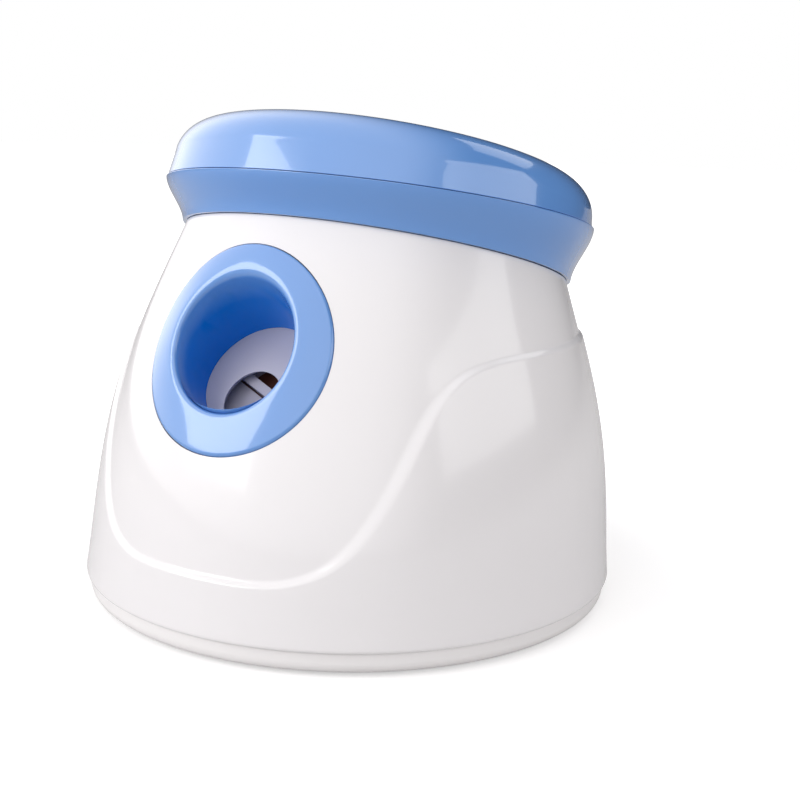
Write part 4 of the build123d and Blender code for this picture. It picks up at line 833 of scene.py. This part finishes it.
def ring_solid(name, corners_at, steps, cuts=5):
    """Closed ring; corners_at gives the section's corners for an array of angles."""
    angles = np.linspace(-math.pi, math.pi, steps, endpoint=False)
    rows = np.array(rounded_loop(corners_at(angles), cuts))
    mesh = spun_sheet(name, len(rows) + 1, steps)
    angle, row = rings_of(mesh)
    column = np.rint((angle + math.pi) / (2 * math.pi) * steps).astype(int) % steps
    place_vertices(mesh, rows[row % len(rows), column])
    edit(mesh, merge_doubles, turn_outwards)
    return mesh


print("hidden edges are rounded by", EDGE, "mm")

# %% [markdown]
# ## Launch bezel
# The blue ring and the muzzle tube are one moulding. Its face is a nearly straight band from the
# body's surface to a rounded lip, and the lip turns softly into the bore. The band could be cut
# from the body's surface, but then it would have no edge of its own: here it starts on the body,
# found by casting rays on the body's mesh, and runs straight to the lip.

# %% Places on the bezel
LIP_CENTRE, LIP_RADIUS, LIP_ELEVATION = (-91.6, 127.5), 29.0, 23.0
TUBE_END, TUBE_RADIUS, LAUNCH_ELEVATION = (-73.0, 110.0), 26.5, 41.0
BEZEL_UP = Vector((0, sin(BEZEL_ELEVATION), cos(BEZEL_ELEVATION)))
# metres in front of the opening
RAY_START = 0.1


def surface_tree(mesh):
    """Search tree of a mesh, for casting rays on it."""
    bm = bmesh.new()
    bm.from_mesh(mesh)
    tree = BVHTree.FromBMesh(bm)
    bm.free()
    return tree


BODY_TREE = surface_tree(body_sheet)


def on_body(angle, radius, lift):
    """Where a round bar along the bezel's direction leaves the body, moved out along it by lift."""
    points = []
    for a in angle:
        side = Vector((sin(a), 0, 0)) + BEZEL_UP * cos(a)
        hit = BODY_TREE.ray_cast(BEZEL_POINT + side * radius * MM + BEZEL_AXIS * RAY_START, -BEZEL_AXIS)[0]
        points.append((hit + BEZEL_AXIS * lift * MM) / MM)
    return np.array(points)


def facing_circle(angle, radius, centre, elevation, out=0.0):
    """Circle that faces forwards and up by elevation degrees; angle 0 is its top."""
    lift = radians(elevation)
    up = radius * np.cos(angle)
    y = centre[0] + up * sin(lift) - out * cos(lift)
    z = centre[1] + up * cos(lift) + out * sin(lift)
    return np.stack([radius * np.sin(angle), y, z], axis=-1)


print("lip of the bezel", 2 * LIP_RADIUS, "mm, bore", 2 * TUBE_RADIUS, "mm")

# %% [markdown]
# ## Section of the bezel
# From the outside in: the hem on the body, the slightly crowned face, the lip, the bore with its
# draft, a thin sleeve at the bore's end, and back outside along the tube's wall. After the
# spinning, the attribute "depth" is written for the painted shade that darkens the bore.

# %% Bezel
BEZEL_PROUD, HEM_DEPTH, TUBE_WALL = 0.7, 4.0, 3.0
HEM_ROUND, LIP_ROUND, BORE_ROUND, ROOT_ROUND = 1.3, 3.6, 5.5, 2.0
CROWN, CROWN_PLACES = 0.5, (0.25, 0.4, 0.55, 0.7)
THROAT_OUT, THROAT_DRAFT = 12.0, 0.6
SLEEVE_REACH, SLEEVE_INSIDE, SLEEVE_OUTSIDE = 1.9, -0.5, 0.4
ROOT_OUT = 9.0
BORE_START, BORE_FADE, BORE_MARGIN = 1.0, 9.0, 6.0
BEZEL_STEPS = 240


def bezel_corners(angle):
    def tube(more_radius, out):
        return facing_circle(angle, TUBE_RADIUS + more_radius, TUBE_END, LAUNCH_ELEVATION, out)

    hem = on_body(angle, BEZEL_RADIUS, BEZEL_PROUD)
    lip = facing_circle(angle, LIP_RADIUS, LIP_CENTRE, LIP_ELEVATION)
    axis = np.array(BEZEL_AXIS)
    crown = [(hem + (lip - hem) * t + axis * CROWN * sin(math.pi * t), 0) for t in CROWN_PLACES]
    face = [(hem, HEM_ROUND), *crown, (lip, LIP_ROUND), (tube(THROAT_DRAFT, THROAT_OUT), BORE_ROUND)]
    sleeve = [(tube(SLEEVE_INSIDE, -SLEEVE_REACH), 0), (tube(SLEEVE_OUTSIDE, -SLEEVE_REACH), 0),
              (tube(SLEEVE_OUTSIDE, 0.0), 0)]
    behind = [(tube(TUBE_WALL, 0.0), EDGE), (tube(TUBE_WALL, ROOT_OUT), ROOT_ROUND),
              (on_body(angle, BEZEL_RADIUS, BEZEL_PROUD - HEM_DEPTH), EDGE)]
    return face + sleeve + behind


def mark_depth(mesh):
    """Writes the attribute "depth", 0 to 1 below the plane of the lip; it sets the bore's painted shade."""
    x, y, z = places_of(mesh).T / MM
    lift = radians(LIP_ELEVATION)
    back, up = y - LIP_CENTRE[0], z - LIP_CENTRE[1]
    below = back * cos(lift) - up * sin(lift)
    inside = np.hypot(x, back * sin(lift) + up * cos(lift)) < LIP_RADIUS + BORE_MARGIN
    share = np.clip((below - BORE_START) / BORE_FADE, 0, 1) * inside
    mesh.attributes.new("depth", "FLOAT", "POINT").data.foreach_set("value", share ** 2 * (3 - 2 * share))


bezel_mesh = ring_solid("bezel", bezel_corners, BEZEL_STEPS, cuts=8)
mark_depth(bezel_mesh)
# the bezel's finish paints shade down the bore, where "depth" grows
make_piece("launch_bezel_skin", bezel_mesh, "blue_plastic", "launch_bezel", finish=blue_bore_painted_shade)

# %% [markdown]
# ## Hopper rim
# The blue rim on top is a roll: an outer wall with a little draft, a large round over the top, and
# a smaller round into the bowl. A torus would be the quick way, but its section is one circle.
# Here two arcs of different size meet on top, and the wall ends on the parting plane. That plane
# leans a few degrees less than the bowl, so the wall is deeper at the front, and the collar under
# it at the back.

# %% Hopper rim
BOWL_CENTRE, BOWL_TILT = (24.9, 182.5), 15.0
PART_CENTRE, PART_TILT, PART_RADIUS, PART_GAP = (22.7, 177.2), 11.0, 100.2, 0.35
ROLL_RING, ROLL_RADIUS, INNER_ROLL = 81.7, 16.6, 11.0
RIM_WALL, RIM_DRAFT, PART_ROUND, THROAT_END = 2.6, 0.16, 0.35, -6.0
RIM_STEPS = 320


def above_parting(points):
    """Height of points over the parting plane."""
    lean = radians(PART_TILT)
    return (points[:, 1] - PART_CENTRE[0]) * sin(lean) + (points[:, 2] - PART_CENTRE[1]) * cos(lean)


def rim_foot(angle, inset):
    """The rim's wall where it meets the parting plane."""
    radius = ROLL_RING + ROLL_RADIUS - inset
    top = leaning_circle(angle, radius, 0, BOWL_CENTRE, BOWL_TILT)
    low = leaning_circle(angle, radius + RIM_DRAFT, -1, BOWL_CENTRE, BOWL_TILT)
    depth = (above_parting(top) - PART_GAP / 2) / (above_parting(top) - above_parting(low))
    return top + (low - top) * depth[:, None]


def rim_corners(angle):
    def ring(radius, height):
        return leaning_circle(angle, radius, height, BOWL_CENTRE, BOWL_TILT)

    def arc(radius, centre_height, start, end, count):
        return [(ring(ROLL_RING + radius * cos(t), centre_height + radius * sin(t)), 0)
                for t in np.linspace(radians(start), radians(end), count)]

    inner_height = ROLL_RADIUS - INNER_ROLL
    throat = ROLL_RING - INNER_ROLL
    outside = [(rim_foot(angle, 0), PART_ROUND), *arc(ROLL_RADIUS, 0, 0, 90, 20),
               *arc(INNER_ROLL, inner_height, 96, 180, 14), (ring(throat, THROAT_END), EDGE)]
    inside = [(ring(throat + RIM_WALL, THROAT_END), EDGE),
              *arc(INNER_ROLL - RIM_WALL, inner_height, 180, 90, 10),
              *arc(ROLL_RADIUS - RIM_WALL, 0, 84, 0, 12), (rim_foot(angle, RIM_WALL), EDGE)]
    return outside + inside


rim_mesh = ring_solid("rim", rim_corners, RIM_STEPS)
make_piece("hopper_rim_skin", rim_mesh, "blue_plastic", "hopper_rim")

# %% [markdown]
# ## Lower collar
# The blue band under the rim flares from the neck up to the parting line. Radius, centre and tilt
# change together on the way, so a lathe profile can't make it. Its rings run from the parting
# plane to the neck's plane. Inside the rim it carries a lip, as such covers have: it centres
# the rim, and no light falls through the parting gap.

# %% Lower collar
NECK_CENTRE, NECK_TUCK, BAND_HEIGHT = (NECK_SHIFT, NECK_HEIGHT), 0.4, 23.0
COLLAR_FRACTIONS = (0.0, 0.14, 0.32, 0.55, 0.78, 1.0)
COLLAR_FLARE = np.polyfit(COLLAR_FRACTIONS, (1.0, 0.94, 0.74, 0.41, 0.12, 0.0), 4)
COLLAR_FOOT_ROUND, COLLAR_ROWS = 0.5, 15
LIP_INSET, LIP_HEIGHT, LIP_WALL, LIP_DROP, LIP_EDGE = RIM_WALL + 0.9, 3.0, 1.5, 2.5, 0.2


def collar_corners(angle):
    def ring(fraction, inset):
        flare = np.polyval(COLLAR_FLARE, fraction)
        radius = NECK_RADIUS + NECK_TUCK + flare * (PART_RADIUS - NECK_RADIUS - NECK_TUCK) - inset
        centre = [a + fraction * (b - a) for a, b in zip(PART_CENTRE, NECK_CENTRE)]
        return leaning_circle(angle, radius, 0, centre, PART_TILT + fraction * (NECK_TILT - PART_TILT))

    down = np.linspace(PART_GAP / 2 / BAND_HEIGHT, 1 - SEAM_GAP / BAND_HEIGHT, COLLAR_ROWS)
    outer = [(ring(down[0], 0), PART_ROUND), *[(ring(f, 0), 0) for f in down[1:-1]],
             (ring(down[-1], 0), COLLAR_FOOT_ROUND)]
    inner = [(ring(f, RIM_WALL), EDGE if f == down[-1] else 0) for f in down[:0:-1]]
    lip_section = ((LIP_INSET + LIP_WALL, -LIP_DROP), (LIP_INSET + LIP_WALL, LIP_HEIGHT),
                   (LIP_INSET, LIP_HEIGHT), (LIP_INSET, -PART_GAP / 2))
    lip = [(leaning_circle(angle, PART_RADIUS - inset, height, PART_CENTRE, PART_TILT), LIP_EDGE)
           for inset, height in lip_section]
    return outer + inner + lip


collar_mesh = ring_solid("collar", collar_corners, RIM_STEPS)
make_piece("lower_collar_skin", collar_mesh, "blue_plastic", "lower_collar")

# %% [markdown]
# ## Funnel
# The bowl narrows from the rim to the drop hole, which lies in front of the bowl's middle and
# leans more, square to the launch tube. A cone can't do that, because its axis is straight.
# Centre, tilt and radius each follow a parabola through the top, a middle ring and the hole, so
# that the balls roll down without a ridge.

# %% Hopper funnel
# centre's y and z, tilt in degrees, radius, of the top, the middle and the hole
FUNNEL_STATIONS = np.array([
    (23.27, 176.41, 15.0, 73.3),
    (9.38, 154.24, 29.3, 49.0),
    (-8.75, 138.95, 41.0, 30.9),
])
FUNNEL_CURVES = [np.polyfit((0.0, 0.5, 1.0), column, 2) for column in FUNNEL_STATIONS.T]
FUNNEL_WALL, SPOUT, SPOUT_ROUND = 2.4, 7.0, 0.8
FUNNEL_ROWS, FUNNEL_STEPS = 18, 200


def funnel_corners(angle):
    def ring(t, inset, depth=0.0):
        y, z, tilt, radius = (np.polyval(curve, t) for curve in FUNNEL_CURVES)
        return leaning_circle(angle, radius - inset, -depth, (y, z), tilt)

    down = np.linspace(0, 1, FUNNEL_ROWS)
    outer = [(ring(t, 0), 0) for t in down] + [(ring(1, 0, SPOUT), EDGE)]
    inner = [(ring(t, FUNNEL_WALL), SPOUT_ROUND if t == 1 else 0) for t in down[::-1]]
    return outer + [(ring(1, FUNNEL_WALL, SPOUT), EDGE)] + inner


funnel_mesh = ring_solid("funnel", funnel_corners, FUNNEL_STEPS)
make_piece("hopper_funnel_skin", funnel_mesh, "blue_plastic", "hopper_funnel", sharp=50)

# %% [markdown]
# ## Plunger face and skirt
# Down the bore one sees the plunger's grey face with its hole. The face, the hole's thin edge and
# the skirt are one ring, whose inner corners are moved off centre. A disc with a hole cut by a
# boolean would look the same from the front, but would leave no clean ring of faces at the hole.

# %% Plunger skirt
LAUNCH_AXIS = Vector((0, -cos(radians(LAUNCH_ELEVATION)), sin(radians(LAUNCH_ELEVATION))))
LAUNCH_UP = Vector((0, sin(radians(LAUNCH_ELEVATION)), cos(radians(LAUNCH_ELEVATION))))
PLUNGER_RADIUS, SKIRT_WALL, PLUNGER_FACE, PLUNGER_BACK = 26.5, 2.2, -2.0, -57.0
FACE_THICKNESS, FACE_ROUND, PLUNGER_STEPS = 3.0, 0.5, 192
HOLE_RADIUS, HOLE_DROP, HOLE_EDGE, HOLE_FLARE = 13.2, 9.5, 0.4, 1.6
HOLE_FRONT_ROUND, HOLE_BACK_ROUND = 0.25, 0.1


def plunger_corners(angle):
    def ring(radius, out, drop=0.0):
        return facing_circle(angle, radius, TUBE_END, LAUNCH_ELEVATION, out) - drop * np.array(LAUNCH_UP)

    inside = PLUNGER_RADIUS - SKIRT_WALL
    face_back = PLUNGER_FACE - FACE_THICKNESS
    hole = [(ring(HOLE_RADIUS, PLUNGER_FACE, HOLE_DROP), HOLE_FRONT_ROUND),
            (ring(HOLE_RADIUS, PLUNGER_FACE - HOLE_EDGE, HOLE_DROP), HOLE_BACK_ROUND),
            (ring(HOLE_RADIUS + HOLE_FLARE, face_back, HOLE_DROP), 0)]
    skirt = [(ring(inside, face_back), EDGE), (ring(inside, PLUNGER_BACK), EDGE),
             (ring(PLUNGER_RADIUS, PLUNGER_BACK), EDGE)]
    return [(ring(PLUNGER_RADIUS, PLUNGER_FACE), FACE_ROUND), *hole, *skirt]


skirt_mesh = ring_solid("skirt", plunger_corners, PLUNGER_STEPS)
print("plunger skirt", len(skirt_mesh.polygons), "faces")

# %% [markdown]
# ## Spring plate
# Behind the hole lies the plate that the spring pushes on: a slanting rib, a slit along the rib's
# lower side and a window along its upper side, through which the red-brown fibre disc shows. Drawn
# on the face these would be flat; cut with booleans from a disc they have real edges and depth.
# The window is a round bar that is cut off along the rib.

# %% Plunger
LAUNCH_FRAME = aimed(Vector((0, *TUBE_END)) * MM, LAUNCH_AXIS)
PLATE_FACE, PLATE_THICKNESS, PLATE_CUT, PLATE_OVERLAP = -10.0, 2.5, 9.0, 0.1
RIB_MIDDLE, RIB_SLANT, RIB_SIZE = (-0.84, -1.89), radians(-24), (47.0, 4.2, 3.2)
RIB_ROUND, RIB_SUNK, CUT_ROUND, RIB_CORNER = 0.3, 0.05, 0.3, 0.2
SLIT_LENGTH, SLIT_WIDTH, SLIT_SHIFT, WINDOW_RADIUS = 26.0, 0.9, -4.8, 11.5


def in_launch_frame(x, up, out):
    """Matrix of a place in the launch tube: x, up from its axis, out of the muzzle."""
    return LAUNCH_FRAME @ Matrix.Translation(Vector((x, up, out)) * MM)


def rib_frame(out):
    """Frame that lies along the rib."""
    return in_launch_frame(*RIB_MIDDLE, out) @ Matrix.Rotation(RIB_SLANT, 4, "Z")


def round_long_edges(bm):
    """Rounds the rib along its length."""
    long_edges = [edge for edge in bm.edges if edge.calc_length() > 0.8 * RIB_SIZE[0] * MM]
    bmesh.ops.bevel(bm, geom=long_edges, offset=RIB_ROUND * MM, segments=2, profile=0.5, affect="EDGES",
                    material=-1)


def spring_plate():
    """Meshes of the pierced plate and of its rib."""
    middle = PLATE_FACE - PLATE_THICKNESS / 2
    plate_radius = PLUNGER_RADIUS - SKIRT_WALL + PLATE_OVERLAP
    disc = bar_cutter(plate_radius, PLATE_THICKNESS, in_launch_frame(0, 0, middle))
    below_rib = Matrix.Translation(Vector((SLIT_SHIFT, -(RIB_SIZE[1] + SLIT_WIDTH) / 2, 0)) * MM)
    slit = slab_cutter((SLIT_LENGTH, SLIT_WIDTH, PLATE_CUT), CUT_ROUND, rib_frame(middle) @ below_rib)
    window = bar_cutter(WINDOW_RADIUS, PLATE_CUT, in_launch_frame(0, 0, middle))
    rib_edge = rib_frame(PLATE_FACE) @ (Vector((0, RIB_SIZE[1] / 2, 0)) * MM)
    down = rib_frame(PLATE_FACE).to_3x3() @ Vector((0, -1, 0))
    edit(window, cut_away(rib_edge, down), cap_holes)
    rib = slab_cutter(RIB_SIZE, RIB_CORNER, rib_frame(PLATE_FACE + RIB_SIZE[2] / 2 - RIB_SUNK))
    edit(rib, round_long_edges)
    return pierce(disc, [slit, window]), rib


def joined(name, meshes):
    """One mesh of several loose bodies."""
    bm = bmesh.new()
    for mesh in meshes:
        bm.from_mesh(mesh)
    return mesh_of(bm, name)


plunger_mesh = joined("plunger", [skirt_mesh, *spring_plate()])
make_piece("plunger_skin", plunger_mesh, "plunger_plastic", "plunger", body="plunger_body", sharp=40)

# %% [markdown]
# ## Drive spring
# A coil spring could be a curve with a round bevel, or an array of rings. A circle spun with an
# upward shift at each step gives the real helix directly. The spring is rigid: the plunger's
# stroke doesn't squeeze it, and it is given a mesh of its own.

# %% Drive spring
SPRING_RADIUS, SPRING_WIRE, SPRING_TURNS = 17.0, 2.0, 9
SPRING_BACK, SPRING_FRONT, STROKE = -109.0, -14.9, 52.0
WIRE_SIDES, STEPS_PER_TURN = 14, 48


def coil_spring():
    bm = bmesh.new()
    start = in_launch_frame(SPRING_RADIUS, 0, SPRING_BACK) @ Matrix.Rotation(radians(90), 4, "X")
    bmesh.ops.create_circle(bm, segments=WIRE_SIDES, radius=SPRING_WIRE / 2 * MM, matrix=start)
    circle = bm.verts[:] + bm.edges[:]
    steps = STEPS_PER_TURN * SPRING_TURNS
    rise = LAUNCH_AXIS * (SPRING_FRONT - SPRING_BACK) * MM / steps
    bmesh.ops.spin(bm, geom=circle, cent=LAUNCH_FRAME.translation, axis=LAUNCH_AXIS, dvec=rise,
                   angle=2 * math.pi * SPRING_TURNS, steps=steps)
    cap_holes(bm)
    turn_outwards(bm)
    return mesh_of(bm, "spring")


spring = make_piece("drive_spring_skin", coil_spring(), "spring_steel", "drive_spring")
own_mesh(spring)
